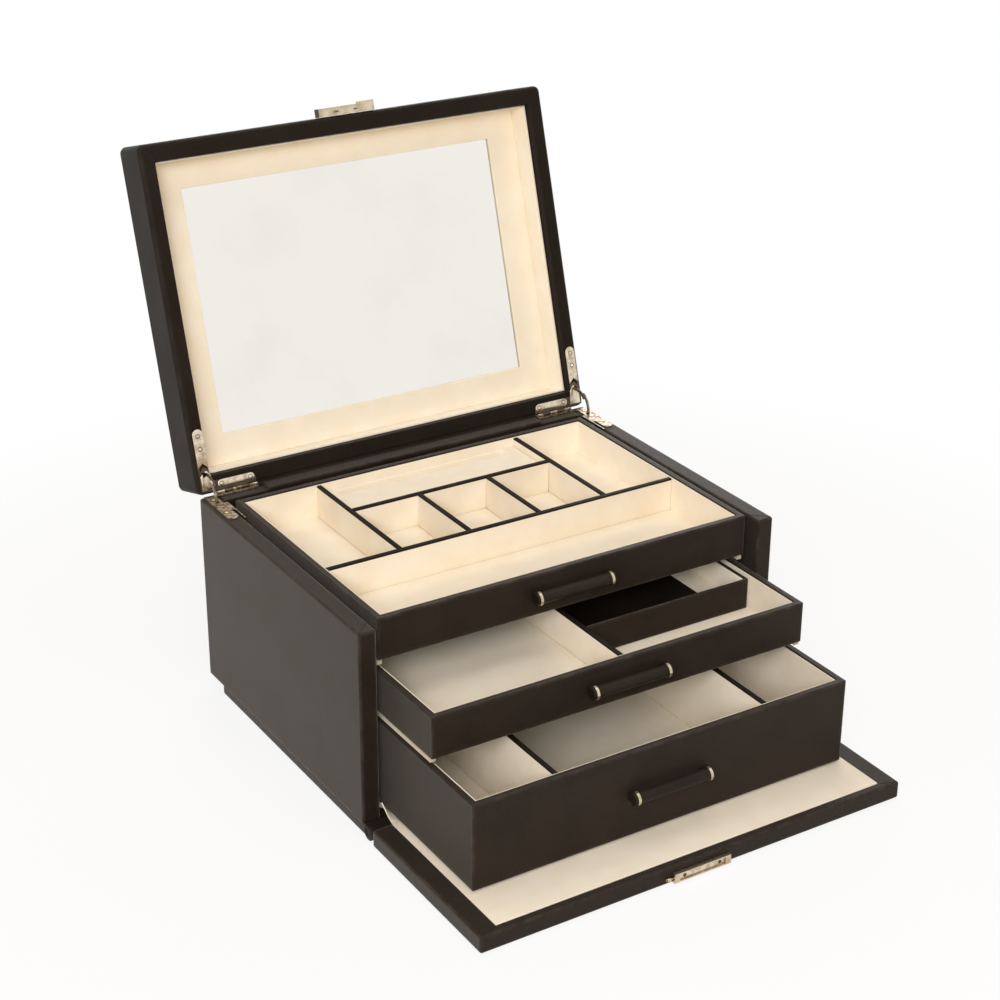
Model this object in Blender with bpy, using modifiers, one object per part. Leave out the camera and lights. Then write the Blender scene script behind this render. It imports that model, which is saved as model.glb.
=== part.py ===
"""Tiered jewelry box with a mirrored lid, a fold-down front door and three drawers.

X runs to the right, Y to the back and Z up, in metres. The origin is on the table, in the middle
of the base plate's underside. The pieces are placed from the case's front edge, by an empty that
stands there. The lid stands open against its hinge stops, the door lies flat on the table and the
three drawers are drawn out in steps.
"""

from dataclasses import dataclass
from math import cos, pi, radians, sin

import bmesh
import bpy
from mathutils import Matrix, Vector

# Fits shared by all pieces
SEAT = 0.0003
SUEDE = 0.0007
CUT_OVERRUN = 0.0020
WELD_DISTANCE = 0.000003
EDGE_ANGLE = radians(40.0)
RIM_ANGLE = radians(70.0)
ROUND_PROFILE_SHARE = 0.5
SMOOTH_ANGLE = radians(35.0)

# Case
CASE_WIDTH = 0.3000
CASE_DEPTH = 0.2150
WALL = 0.0117
WALL_EDGE_RADIUS = 0.0015
BACK_RISE_INSET = 0.0025
BACK_WALL_EDGE_RADIUS = 0.0010
BASE_THICKNESS = 0.0068
BASE_SIDE_INSET = 0.0013
BASE_FRONT_INSET = 0.0005
BASE_REAR_INSET = 0.0180
BASE_EDGE_RADIUS = 0.0010
FLOOR_THICKNESS = 0.0039
SHELF_THICKNESS = 0.0027
SHELF_SETBACK = 0.0240

# Drawers
DRAWER_SETBACK = 0.0145
DRAWER_SIDE_GAP = 0.0048
DRAWER_HEADROOM = 0.0004
DRAWER_WALL = 0.0043
DRAWER_FLOOR = 0.0024
DRAWER_EDGE_RADIUS = 0.0006
LINING_DROP = 0.0006
LINING_EDGE_RADIUS = 0.0002
DIVIDER_THICKNESS = 0.0030
DIVIDER_DROP = 0.0008
DIVIDER_EDGE_RADIUS = 0.0005
GLIDE_WIDTH = 0.0035
GLIDE_END_INSET = 0.0020
BOTTOM_DRAWER_HEIGHT = 0.0568
BOTTOM_DRAWER_PULL = 0.1127
BOTTOM_GLIDE_THICKNESS = 0.0017
BOTTOM_GLIDE_LENGTH = 0.0600
BOTTOM_DIVIDER_X = 0.0750
MIDDLE_DRAWER_HEIGHT = 0.0275
MIDDLE_DRAWER_PULL = 0.0683
MIDDLE_GLIDE_THICKNESS = 0.0025
TOP_DRAWER_HEIGHT = 0.0276
TOP_DRAWER_PULL = 0.0070
TOP_GLIDE_THICKNESS = 0.0035
TOP_CROSS_DIVIDER_Y = 0.0735
TOP_REAR_DIVIDER_Y = 0.1392
TOP_LONG_DIVIDER_X = 0.0760
TOP_SMALL_DIVIDER_X = 0.0260

# Padded insert at the back of the top drawer
PAD_DROP = 0.0065
PAD_EDGE_RADIUS = 0.0015
PAD_GROOVE_WIDTH = 0.0050
PAD_GROOVE_DEPTH = 0.0060
PAD_GROOVE_INSET = 0.0070

# Lift-out tray in the middle drawer
LIFT_TRAY_HEIGHT = 0.0211
LIFT_TRAY_FREE_LENGTH = 0.0425
LIFT_TRAY_WALL = 0.0012
LIFT_TRAY_FLOOR = 0.0020
LIFT_TRAY_SIDE_GAP = 0.0004

# Drawer handles
HANDLE_LENGTH = 0.0570
HANDLE_HEIGHT = 0.0080
HANDLE_THICKNESS = 0.0044
HANDLE_STANDOFF = 0.0046
HANDLE_POST_WIDTH = 0.0045
HANDLE_POST_HEIGHT_SHARE = 0.75
HANDLE_POST_BURIAL_SHARE = 0.4
HANDLE_FRONT_STEPS = 8
BAND_WIDTH = 0.0018
BAND_THICKNESS = 0.0005
BAND_FIT = 0.0001
BAND_END_INSET = 0.0016

# Door and its soft hinge
DOOR_THICKNESS = 0.0115
DOOR_TOP_DROP = 0.0010
DOOR_SIDE_OVERHANG = 0.0006
DOOR_EDGE_RADIUS = 0.0016
DOOR_LINING_SIDE_BORDER = 0.0130
DOOR_LINING_FAR_BORDER = 0.0054
DOOR_LINING_NEAR_BORDER = 0.0006
DOOR_LINING_RECESS = 0.0010
DOOR_LINING_THICKNESS = 0.0015
DOOR_LINING_EDGE_RADIUS = 0.0004
SPINE_RADIUS = 0.0060
SPINE_STEPS = 20
SPINE_DOOR_GAP = 0.0007
HINGE_CLOTH_THICKNESS = 0.0007
HINGE_CLOTH_FLOOR_LAP = 0.0140
HINGE_CLOTH_SIDE_INSET = 0.0002

# Lid
LID_HEIGHT = 0.0340
LID_OPEN_ANGLE = radians(106.3)
LID_FRONT_BACKSET = 0.0003
LID_SIDE_BORDER = 0.0102
LID_BACK_BORDER = 0.0118
LID_FRONT_BORDER = 0.0117
LID_CORNER_RADIUS = 0.0042
LID_OUTER_RADIUS = 0.0028
LID_RIM_RADIUS = 0.0008
LID_CLEARANCE = 0.0005
LID_VIEW_DEPTH = 0.0230
LID_LINING_THICKNESS = 0.0010
LID_LINING_DROP = 0.0060
MIRROR_SIDE_BORDER = 0.0219
MIRROR_FRONT_BORDER = 0.0182
MIRROR_BACK_BORDER = 0.0197
MIRROR_OVERLAP = 0.0025
MIRROR_THICKNESS = 0.0020
MIRROR_FRAME_THICKNESS = 0.0036

# Lid hinges
HINGE_INSET = 0.0002
KNUCKLE_RADIUS = 0.00115
KNUCKLE_CLEARANCE = 0.00015
KNUCKLE_BORE_RADIUS = 0.0007
KNUCKLE_COUNT = 5
KNUCKLE_GAP = 0.0003
KNUCKLE_SIDES = 16
PIN_RADIUS = 0.0005
LEAF_THICKNESS = 0.0007
LEAF_SEAT = 0.0002
LEAF_EDGE_INSET = 0.0022
LEAF_BACK_EDGE = 0.0016
BACK_LEG_LENGTH = 0.0390
BACK_LEG_WIDTH = 0.0064
CASE_BACK_LEG_WIDTH = 0.0030
BACK_LEG_CORNER_SHARE = 0.6
SIDE_LEG_WIDTH = 0.0075
SIDE_LEG_REACH = 0.0405
BARREL_OUTER_INSET = 0.0100
ROUND_STEPS = 6
ARM_RADIUS = 0.0133
ARM_WIDTH = 0.0020
ARM_THICKNESS = 0.0010
ARM_SWEEP = radians(62.0)
ARM_ROOT = radians(3.5)
ARM_STEPS = 7
LID_ARM_INSET = 0.0053
SLOT_CLEARANCE = 0.0004
NOTCH_NEAR = 0.0153
NOTCH_RISE = 0.0029
NOTCH_WIDTH = 0.0022
NOTCH_WEB = 0.0014
FLANGE_HEIGHT = 0.0035
FLANGE_NEAR = 0.0158
FLANGE_FAR = 0.0428
WEB_LENGTH = 0.0120

# Lid catch
LID_CATCH_LEFT = -0.0212
LID_CATCH_RIGHT = 0.0200
LID_CATCH_REACH = 0.0058
LID_CATCH_HEIGHT = 0.0060
LID_CATCH_SHEET = 0.0009
LID_CATCH_RIM_INSET = 0.0006
LID_CATCH_CHEEK = 0.0035
LID_CATCH_BLOCK_LENGTH = 0.0100
LID_CATCH_BLOCK_RISE = 0.0013
LID_CATCH_SLOT_LENGTH = 0.0050
LID_CATCH_SLOT_WIDTH = 0.0012
LID_CATCH_SLOT_INSET = 0.0105

# Door catch and its push button
DOOR_CATCH_LEFT = -0.0215
DOOR_CATCH_RIGHT = 0.0190
DOOR_CATCH_HEIGHT = 0.0060
DOOR_CATCH_RISE = 0.0012
DOOR_CATCH_PROUD = 0.0030
DOOR_CATCH_SHEET = 0.0008
DOOR_CATCH_END = 0.0038
DOOR_CATCH_HOLE_RADIUS = 0.0009
DOOR_CATCH_HOLE_INSET = 0.0076
BUTTON_TRAVEL_GAP = 0.0022
BUTTON_LENGTH = 0.0024
BUTTON_RADIUS = 0.0012
BUTTON_STEM_RADIUS = 0.0005
BUTTON_STEM_FIT = 0.0003
BUTTON_SIDES = 16

# Sizes worked out from the ones above
half_width = CASE_WIDTH / 2
inner_half_width = half_width - WALL
inner_back = CASE_DEPTH - WALL
wall_bottom = BASE_THICKNESS + SEAT
floor_top = wall_bottom + FLOOR_THICKNESS
base_back = CASE_DEPTH - BASE_REAR_INSET
base_middle = (BASE_FRONT_INSET + base_back) / 2

drawer_half_width = inner_half_width - DRAWER_SIDE_GAP
drawer_depth = inner_back - SEAT - DRAWER_SETBACK
bottom_drawer_floor = floor_top + SEAT + BOTTOM_GLIDE_THICKNESS + SEAT
lower_shelf_bottom = bottom_drawer_floor + BOTTOM_DRAWER_HEIGHT + DRAWER_HEADROOM
lower_shelf_top = lower_shelf_bottom + SHELF_THICKNESS
middle_drawer_floor = lower_shelf_top + SEAT + MIDDLE_GLIDE_THICKNESS + SEAT
upper_shelf_bottom = middle_drawer_floor + MIDDLE_DRAWER_HEIGHT + DRAWER_HEADROOM
upper_shelf_top = upper_shelf_bottom + SHELF_THICKNESS
top_drawer_floor = upper_shelf_top + SEAT + TOP_GLIDE_THICKNESS + SEAT

knuckle_space = KNUCKLE_RADIUS + KNUCKLE_CLEARANCE
rim_height = top_drawer_floor + TOP_DRAWER_HEIGHT + LID_CLEARANCE
lid_axis_z = rim_height - knuckle_space
lid_axis_y = CASE_DEPTH - HINGE_INSET
case_top = lid_axis_z - knuckle_space
leaf_outer = half_width - LEAF_EDGE_INSET
leaf_inner = leaf_outer - BACK_LEG_LENGTH
side_leg_inner = leaf_outer - SIDE_LEG_WIDTH
barrel_outer = leaf_outer - BARREL_OUTER_INSET
case_arm_inset = LID_ARM_INSET - ARM_THICKNESS - SEAT

door_axis_z = SPINE_RADIUS + SEAT
spine_back = DOOR_THICKNESS - door_axis_z
door_axis_y = -SEAT - spine_back
door_near = SPINE_RADIUS + SPINE_DOOR_GAP
door_far = case_top - DOOR_TOP_DROP - door_axis_z
door_half_width = half_width + DOOR_SIDE_OVERHANG

lining_half_width = drawer_half_width - DRAWER_WALL - SEAT
compartment_half_width = lining_half_width - SUEDE
compartment_front = DRAWER_WALL + SEAT + SUEDE
compartment_back = drawer_depth - compartment_front
compartment_floor = DRAWER_FLOOR + SEAT + SUEDE


@dataclass(frozen=True)
class Finish:
    """A material's colour, roughness and metallic value."""

    name: str
    color: tuple
    roughness: float
    metallic: float


@dataclass(frozen=True)
class Drawer:
    """What sets one drawer apart from the others."""

    name: str
    floor: float
    height: float
    pull: float
    glide_thickness: float
    glide_length: float


LEATHER = Finish("dark_leather", (0.028, 0.021, 0.018), 0.55, 0.0)
INNER_LEATHER = Finish("inner_leather", (0.016, 0.012, 0.010), 0.65, 0.0)
SUEDE_CREAM = Finish("cream_suede", (0.87, 0.76, 0.60), 0.95, 0.0)
FELT = Finish("pale_felt", (0.62, 0.55, 0.45), 0.95, 0.0)
GOLD = Finish("champagne_gold", (0.76, 0.66, 0.50), 0.25, 1.0)
STEEL = Finish("hinge_steel", (0.60, 0.57, 0.52), 0.30, 1.0)
SILVERED_GLASS = Finish("silvered_glass", (0.90, 0.90, 0.89), 0.03, 1.0)

BOTTOM_DRAWER = Drawer(
    "drawer_bottom", bottom_drawer_floor, BOTTOM_DRAWER_HEIGHT, BOTTOM_DRAWER_PULL,
    BOTTOM_GLIDE_THICKNESS, BOTTOM_GLIDE_LENGTH,
)
MIDDLE_DRAWER = Drawer(
    "drawer_middle", middle_drawer_floor, MIDDLE_DRAWER_HEIGHT, MIDDLE_DRAWER_PULL,
    MIDDLE_GLIDE_THICKNESS, drawer_depth - GLIDE_END_INSET - GLIDE_END_INSET,
)
TOP_DRAWER = Drawer(
    "drawer_top", top_drawer_floor, TOP_DRAWER_HEIGHT, TOP_DRAWER_PULL,
    TOP_GLIDE_THICKNESS, drawer_depth - GLIDE_END_INSET - GLIDE_END_INSET,
)


def clear_scene():
    """Remove every object of the scene."""
    for item in list(bpy.data.objects):
        bpy.data.objects.remove(item, do_unlink=True)


def make_collection(name):
    """Add a collection to the scene."""
    collection = bpy.data.collections.new(name)
    bpy.context.scene.collection.children.link(collection)
    return collection


def material_of(finish):
    """Make a finish's material, or return it if it exists."""
    material = bpy.data.materials.get(finish.name)
    if material is None:
        material = bpy.data.materials.new(finish.name)
        material.use_nodes = True
        shader = material.node_tree.nodes["Principled BSDF"]
        shader.inputs["Base Color"].default_value = (*finish.color, 1)
        shader.inputs["Roughness"].default_value = finish.roughness
        shader.inputs["Metallic"].default_value = finish.metallic
    return material


def make_axis(name, location, parent, tilt=0.0):
    """Add an empty on a joint's axis, turned about X by tilt."""
    axis = bpy.data.objects.new(name, None)
    axis.parent = parent
    axis.location = location
    axis.rotation_euler = (tilt, 0, 0)
    parts.objects.link(axis)
    return axis


def add_object(name, mesh, parent, collection):
    """Put a mesh in a collection, as an object on its parent."""
    item = bpy.data.objects.new(name, mesh)
    item.parent = parent
    collection.objects.link(item)
    return item


def mesh_from(name, bm):
    """Turn a bmesh into a mesh and free it."""
    mesh = bpy.data.meshes.new(name)
    bm.to_mesh(mesh)
    bm.free()
    return mesh


def add_cube(bm, low, high):
    """Add a box between two corners to a bmesh."""
    low = Vector(low)
    high = Vector(high)
    place = Matrix.Translation((low + high) / 2) @ Matrix.Diagonal((*(high - low), 1))
    bmesh.ops.create_cube(bm, size=1, matrix=place)


def boxes(name, corners, parent, collection):
    """Make one object of separate boxes, each given by its low and its high corner."""
    bm = bmesh.new()
    for low, high in corners:
        add_cube(bm, low, high)
    return add_object(name, mesh_from(name, bm), parent, collection)


def rods(name, spans, radius, center, parent, collection, sides=KNUCKLE_SIDES):
    """Make one object of separate rods along X, each given by its two ends."""
    bm = bmesh.new()
    for low, high in spans:
        middle = Vector(((low + high) / 2, *center))
        place = Matrix.Translation(middle) @ Matrix.Rotation(pi / 2, 4, "Y")
        bmesh.ops.create_cone(
            bm, cap_ends=True, segments=sides, radius1=radius, radius2=radius,
            depth=abs(high - low), matrix=place,
        )
    return add_object(name, mesh_from(name, bm), parent, collection)


def extrusion(name, outline, low, high, parent, collection, along_x=False):
    """Extrude a flat outline between two heights, along Z, or along X from points (y, z)."""
    curve = bpy.data.curves.new(name, "CURVE")
    curve.dimensions = "2D"
    curve.fill_mode = "BOTH"
    curve.extrude = abs(high - low) / 2
    spline = curve.splines.new("POLY")
    spline.points.add(len(outline) - 1)
    for point, (u, v) in zip(spline.points, outline):
        point.co = (u, v, 0, 1)
    spline.use_cyclic_u = True
    guide = bpy.data.objects.new(name + "_outline", curve)
    bpy.context.scene.collection.objects.link(guide)
    evaluated = guide.evaluated_get(bpy.context.evaluated_depsgraph_get())
    mesh = bpy.data.meshes.new_from_object(evaluated)
    bpy.data.objects.remove(guide, do_unlink=True)
    lift = Matrix.Translation((0, 0, (low + high) / 2))
    turn = Matrix(((0, 0, 1, 0), (1, 0, 0, 0), (0, 1, 0, 0), (0, 0, 0, 1)))
    mesh.transform(turn @ lift if along_x else lift)
    bm = bmesh.new()
    bm.from_mesh(mesh)
    bmesh.ops.remove_doubles(bm, verts=bm.verts, dist=WELD_DISTANCE)
    bm.to_mesh(mesh)
    bm.free()
    mesh.name = name
    return add_object(name, mesh, parent, collection)


def apply_boolean(item, tool, operation):
    """Cut a tool out of an item, or join it to the item, and keep the tool out of sight."""
    tool.hide_render = True
    tool.display_type = "WIRE"
    change = item.modifiers.new(tool.name, "BOOLEAN")
    change.operation = operation
    change.solver = "EXACT"
    change.object = tool
    return item


def cut(item, tool):
    """Cut a tool out of an item."""
    return apply_boolean(item, tool, "DIFFERENCE")


def join(item, tool):
    """Join a tool to an item."""
    return apply_boolean(item, tool, "UNION")


def round_edges(item, radius, segments=2, least_angle=EDGE_ANGLE):
    """Round the edges that turn by more than the least angle."""
    bevel = item.modifiers.new("rounded_edges", "BEVEL")
    bevel.width = radius
    bevel.segments = segments
    bevel.limit_method = "ANGLE"
    bevel.angle_limit = least_angle
    bevel.use_clamp_overlap = True
    return item


def round_upright_edges(item, radius):
    """Round the four upright edges of a box."""
    bm = bmesh.new()
    bm.from_mesh(item.data)
    upright = [edge for edge in bm.edges if abs(edge.verts[0].co.z - edge.verts[1].co.z) > WELD_DISTANCE]
    bmesh.ops.bevel(
        bm, geom=upright, offset=radius, segments=ROUND_STEPS, profile=ROUND_PROFILE_SHARE, affect="EDGES",
    )
    bm.to_mesh(item.data)
    bm.free()
    return item


def finish(item, look):
    """Give an item its material, and shade its rounded faces smooth."""
    item.data.materials.clear()
    item.data.materials.append(material_of(look))
    item.data.shade_smooth()
    item.data.set_sharp_from_angle(angle=SMOOTH_ANGLE)
    return item


def block(name, low, high, parent, look, radius=0.0, segments=2):
    """Make a box of one piece, with rounded edges where a radius is given."""
    item = boxes(name, [(low, high)], parent, parts)
    if radius:
        round_edges(item, radius, segments)
    return finish(item, look)


def tray(name, low, high, wall, floor, parent, look, radius, segments=2):
    """Make a box open at its top, with rounded edges."""
    item = boxes(name, [(low, high)], parent, parts)
    hollow_low = Vector(low) + Vector((wall, wall, floor))
    hollow_high = Vector(high) + Vector((-wall, -wall, CUT_OVERRUN))
    cut(item, boxes(name + "_hollow", [(hollow_low, hollow_high)], parent, cutters))
    round_edges(item, radius, segments)
    return finish(item, look)


def arc(center, radius, start, end, steps):
    """List points along an arc, with both its ends."""
    turns = [start + (end - start) * step / steps for step in range(steps + 1)]
    return [(center[0] + radius * cos(turn), center[1] + radius * sin(turn)) for turn in turns]


def half_ellipse(back, half_height, depth, steps):
    """List points (y, z) round the front of a bar, from its top to its bottom."""
    turns = [pi / 2 + pi * step / steps for step in range(steps + 1)]
    return [(back + depth * cos(turn), half_height * sin(turn)) for turn in turns]


def build_case():
    """Build the leather-covered case: base, floor, three walls and two dust shelves."""
    block(
        "base_plate",
        (BASE_SIDE_INSET - half_width, BASE_FRONT_INSET, 0),
        (half_width - BASE_SIDE_INSET, base_back, BASE_THICKNESS),
        case_front, LEATHER, BASE_EDGE_RADIUS,
    )
    floor_edge = inner_half_width - SEAT
    floor = boxes(
        "case_floor",
        [((-floor_edge, SEAT, wall_bottom), (floor_edge, inner_back - SEAT, floor_top))],
        case_front, parts,
    )
    rebate = boxes(
        "cloth_rebate",
        [(
            (-half_width, -CUT_OVERRUN, floor_top - HINGE_CLOTH_THICKNESS - SEAT),
            (half_width, HINGE_CLOTH_FLOOR_LAP + SEAT, floor_top + CUT_OVERRUN),
        )],
        case_front, cutters,
    )
    finish(cut(floor, rebate), INNER_LEATHER)
    for side, name in ((-1, "side_wall_left"), (1, "side_wall_right")):
        build_side_wall(name, side)
    build_back_wall(floor_edge)
    for name, bottom in (("shelf_lower", lower_shelf_bottom), ("shelf_upper", upper_shelf_bottom)):
        block(
            name,
            (-floor_edge, SHELF_SETBACK, bottom),
            (floor_edge, inner_back - SEAT, bottom + SHELF_THICKNESS),
            case_front, INNER_LEATHER,
        )


def build_back_wall(edge):
    """Build the back wall, which rises between the two lid hinges up to just under the lid."""
    wall = boxes(
        "back_wall", [((-edge, inner_back, wall_bottom), (edge, CASE_DEPTH, case_top))], case_front, parts,
    )
    rise_edge = leaf_inner - BACK_RISE_INSET
    rise_low = (-rise_edge, inner_back, wall_bottom)
    rise_high = (rise_edge, CASE_DEPTH, rim_height - LID_CLEARANCE)
    rise = boxes("back_wall_rise", [(rise_low, rise_high)], case_front, cutters)
    finish(round_edges(join(wall, rise), BACK_WALL_EDGE_RADIUS), LEATHER)


def build_side_wall(name, side):
    """Build a side wall with the mortise that the lid hinge's arm swings into."""
    edges = sorted((side * inner_half_width, side * half_width))
    wall = boxes(name, [((edges[0], 0, wall_bottom), (edges[1], CASE_DEPTH, case_top))], case_front, parts)
    round_edges(wall, WALL_EDGE_RADIUS, 3)
    reach = arm_pocket_reach()
    low_x, high_x = pocket_span(side, LID_ARM_INSET)
    mortise = boxes(
        name + "_mortise",
        [(
            (low_x, lid_axis_y - reach[0], lid_axis_z - reach[2]),
            (high_x, lid_axis_y - reach[1], case_top + CUT_OVERRUN),
        )],
        case_front, cutters,
    )
    finish(cut(wall, mortise), LEATHER)


def arm_pocket_reach():
    """Work out how far from the hinge axis an arm's pocket starts, ends and how deep it goes."""
    outer = ARM_RADIUS + ARM_WIDTH / 2 + SLOT_CLEARANCE
    inner = ARM_RADIUS - ARM_WIDTH / 2 - SLOT_CLEARANCE
    return outer, inner * cos(ARM_SWEEP) - SLOT_CLEARANCE, outer * sin(ARM_SWEEP) + SLOT_CLEARANCE


def arm_span(side, inset):
    """Give an arm's two faces along X, from its inset behind the leaf's outer edge."""
    inner = leaf_outer - inset
    return sorted((side * inner, side * (inner + ARM_THICKNESS)))


def pocket_span(side, inset):
    """Give the two sides along X of the room that an arm needs."""
    low, high = arm_span(side, inset)
    return low - SEAT, high + SEAT


def build_door_hinge():
    """Build the soft hinge of the door: its leather-wrapped spine and the cloth over it."""
    top = floor_top - HINGE_CLOTH_THICKNESS - SEAT
    circle = arc((door_axis_y, door_axis_z), SPINE_RADIUS, 0, 2 * pi, SPINE_STEPS)[:-1]
    outline = [(min(y, door_axis_y + spine_back), min(z, top)) for y, z in circle]
    spine = extrusion("door_hinge_spine", outline, -half_width, half_width, case_front, parts, along_x=True)
    finish(spine, LEATHER)
    cloth_edge = inner_half_width - SEAT - HINGE_CLOTH_SIDE_INSET
    block(
        "door_hinge_cloth",
        (-cloth_edge, door_axis_y - SPINE_RADIUS, floor_top - HINGE_CLOTH_THICKNESS),
        (cloth_edge, HINGE_CLOTH_FLOOR_LAP, floor_top),
        case_front, SUEDE_CREAM,
    )


def build_door():
    """Build the fold-down door about its axis, as it lies on the table."""
    axis = make_axis("door_axis", (0, door_axis_y, door_axis_z), case_front)
    top = DOOR_THICKNESS - door_axis_z
    panel = boxes(
        "door_panel",
        [((-door_half_width, -door_far, -door_axis_z), (door_half_width, -door_near, top))],
        axis, parts,
    )
    round_edges(panel, DOOR_EDGE_RADIUS, 3)
    edge = door_half_width - DOOR_LINING_SIDE_BORDER
    far = DOOR_LINING_FAR_BORDER - door_far
    near = -door_near - DOOR_LINING_NEAR_BORDER
    recess = boxes(
        "door_lining_recess",
        [(
            (-edge - SEAT, far - SEAT, top - DOOR_LINING_RECESS),
            (edge + SEAT, near + DOOR_LINING_NEAR_BORDER + CUT_OVERRUN, top + CUT_OVERRUN),
        )],
        axis, cutters,
    )
    finish(cut(panel, recess), LEATHER)
    lining_bottom = top - DOOR_LINING_RECESS + SEAT
    block(
        "door_lining",
        (-edge, far, lining_bottom), (edge, near, lining_bottom + DOOR_LINING_THICKNESS),
        axis, SUEDE_CREAM, DOOR_LINING_EDGE_RADIUS,
    )
    build_door_catch(axis)


def screw_hole(name, center, axis):
    """Make the cutter for a screw hole that runs through the door's catch, along Y."""
    bm = bmesh.new()
    place = Matrix.Translation(center) @ Matrix.Rotation(pi / 2, 4, "X")
    bmesh.ops.create_cone(
        bm, cap_ends=True, segments=BUTTON_SIDES, radius1=DOOR_CATCH_HOLE_RADIUS,
        radius2=DOOR_CATCH_HOLE_RADIUS, depth=2 * DOOR_CATCH_PROUD, matrix=place,
    )
    return add_object(name, mesh_from(name, bm), axis, cutters)


def build_door_catch(axis):
    """Build the catch on the door's far edge and the button that slides in it."""
    face = -door_far - SEAT
    front = -door_far - DOOR_CATCH_PROUD
    bottom = DOOR_CATCH_RISE - door_axis_z
    top = bottom + DOOR_CATCH_HEIGHT
    plate = boxes(
        "door_catch", [((DOOR_CATCH_LEFT, front, bottom), (DOOR_CATCH_RIGHT, face, top))], axis, parts,
    )
    channel = boxes(
        "door_catch_channel",
        [(
            (DOOR_CATCH_LEFT + DOOR_CATCH_END, front - CUT_OVERRUN, bottom + DOOR_CATCH_SHEET),
            (DOOR_CATCH_RIGHT - DOOR_CATCH_END, face - DOOR_CATCH_SHEET, top - DOOR_CATCH_SHEET),
        )],
        axis, cutters,
    )
    cut(plate, channel)
    middle_z = (bottom + top) / 2
    left_hole = DOOR_CATCH_LEFT + DOOR_CATCH_HOLE_INSET
    right_hole = DOOR_CATCH_RIGHT - DOOR_CATCH_HOLE_INSET
    for word, hole_x in (("left", left_hole), ("right", right_hole)):
        cut(plate, screw_hole(f"door_catch_hole_{word}", (hole_x, face, middle_z), axis))
    stem_y = (front + face) / 2
    bore_end = DOOR_CATCH_LEFT + DOOR_CATCH_END + CUT_OVERRUN
    bore = rods(
        "door_catch_bore", [(DOOR_CATCH_LEFT - CUT_OVERRUN, bore_end)],
        BUTTON_STEM_RADIUS + BUTTON_STEM_FIT, (stem_y, middle_z), axis, cutters,
    )
    finish(cut(plate, bore), GOLD)
    knob_right = DOOR_CATCH_LEFT - BUTTON_TRAVEL_GAP
    button_axis = make_axis("door_catch_button_axis", (knob_right, stem_y, middle_z), axis)
    knob = rods(
        "door_catch_button", [(-BUTTON_LENGTH, 0)], BUTTON_RADIUS, (0, 0), button_axis, parts, BUTTON_SIDES,
    )
    stem_end = BUTTON_TRAVEL_GAP + DOOR_CATCH_END
    stem = rods(
        "door_catch_button_stem", [(-BUTTON_LENGTH / 2, stem_end)], BUTTON_STEM_RADIUS, (0, 0),
        button_axis, cutters,
    )
    finish(join(knob, stem), GOLD)


def build_drawer(drawer):
    """Build one drawer with its lining, glides and handle, and return the empty that carries it."""
    front = DRAWER_SETBACK - drawer.pull
    axis = make_axis(drawer.name + "_slide", (0, front, drawer.floor), case_front)
    tray(
        drawer.name + "_box",
        (-drawer_half_width, 0, 0), (drawer_half_width, drawer_depth, drawer.height),
        DRAWER_WALL, DRAWER_FLOOR, axis, LEATHER, DRAWER_EDGE_RADIUS,
    )
    tray(
        drawer.name + "_lining",
        (-lining_half_width, DRAWER_WALL + SEAT, DRAWER_FLOOR + SEAT),
        (lining_half_width, drawer_depth - DRAWER_WALL - SEAT, drawer.height - LINING_DROP),
        SUEDE, SUEDE, axis, SUEDE_CREAM, LINING_EDGE_RADIUS, 1,
    )
    back = drawer_depth - GLIDE_END_INSET
    top = -SEAT
    bottom = top - drawer.glide_thickness
    inner = drawer_half_width - GLIDE_WIDTH
    for side, word in ((-1, "left"), (1, "right")):
        low_x, high_x = sorted((side * inner, side * drawer_half_width))
        block(
            f"{drawer.name}_glide_{word}",
            (low_x, back - drawer.glide_length, bottom), (high_x, back, top),
            axis, FELT,
        )
    build_handle(drawer, axis)
    return axis


def build_handle(drawer, axis):
    """Build a leather-wrapped pull on two posts, with a gold band round each of its ends."""
    middle = drawer.height / 2
    half_length = HANDLE_LENGTH / 2
    half_height = HANDLE_HEIGHT / 2
    bar_outline = [
        (y, middle + z)
        for y, z in half_ellipse(-HANDLE_STANDOFF, half_height, HANDLE_THICKNESS, HANDLE_FRONT_STEPS)
    ]
    handle = extrusion(
        drawer.name + "_handle", bar_outline, -half_length, half_length, axis, parts, along_x=True,
    )
    post_half_height = half_height * HANDLE_POST_HEIGHT_SHARE
    post_front = -HANDLE_STANDOFF - HANDLE_THICKNESS * HANDLE_POST_BURIAL_SHARE
    inner = half_length - HANDLE_POST_WIDTH
    outer = half_length - SEAT
    posts = boxes(
        drawer.name + "_handle_posts",
        [
            ((low, post_front, middle - post_half_height), (high, -SEAT, middle + post_half_height))
            for low, high in ((-outer, -inner), (inner, outer))
        ],
        axis, cutters,
    )
    finish(join(handle, posts), LEATHER)
    inner_curve = half_ellipse(
        -HANDLE_STANDOFF, half_height + BAND_FIT, HANDLE_THICKNESS + BAND_FIT, HANDLE_FRONT_STEPS,
    )
    thickness = BAND_FIT + BAND_THICKNESS
    outer_curve = half_ellipse(
        -HANDLE_STANDOFF, half_height + thickness, HANDLE_THICKNESS + thickness, HANDLE_FRONT_STEPS,
    )
    band_outline = [(y, middle + z) for y, z in outer_curve + inner_curve[::-1]]
    band_outer = half_length - BAND_END_INSET
    for side, word in ((-1, "left"), (1, "right")):
        low, high = sorted((side * band_outer, side * (band_outer - BAND_WIDTH)))
        band = extrusion(f"{drawer.name}_band_{word}", band_outline, low, high, axis, parts, along_x=True)
        finish(band, GOLD)


def divider(name, low, high, drawer, axis, look=INNER_LEATHER):
    """Stand a divider between two corners of a drawer's floor, given as (x, y)."""
    return block(
        name,
        (*low, compartment_floor + SEAT), (*high, drawer.height - DIVIDER_DROP),
        axis, look, DIVIDER_EDGE_RADIUS, 1,
    )


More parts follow.
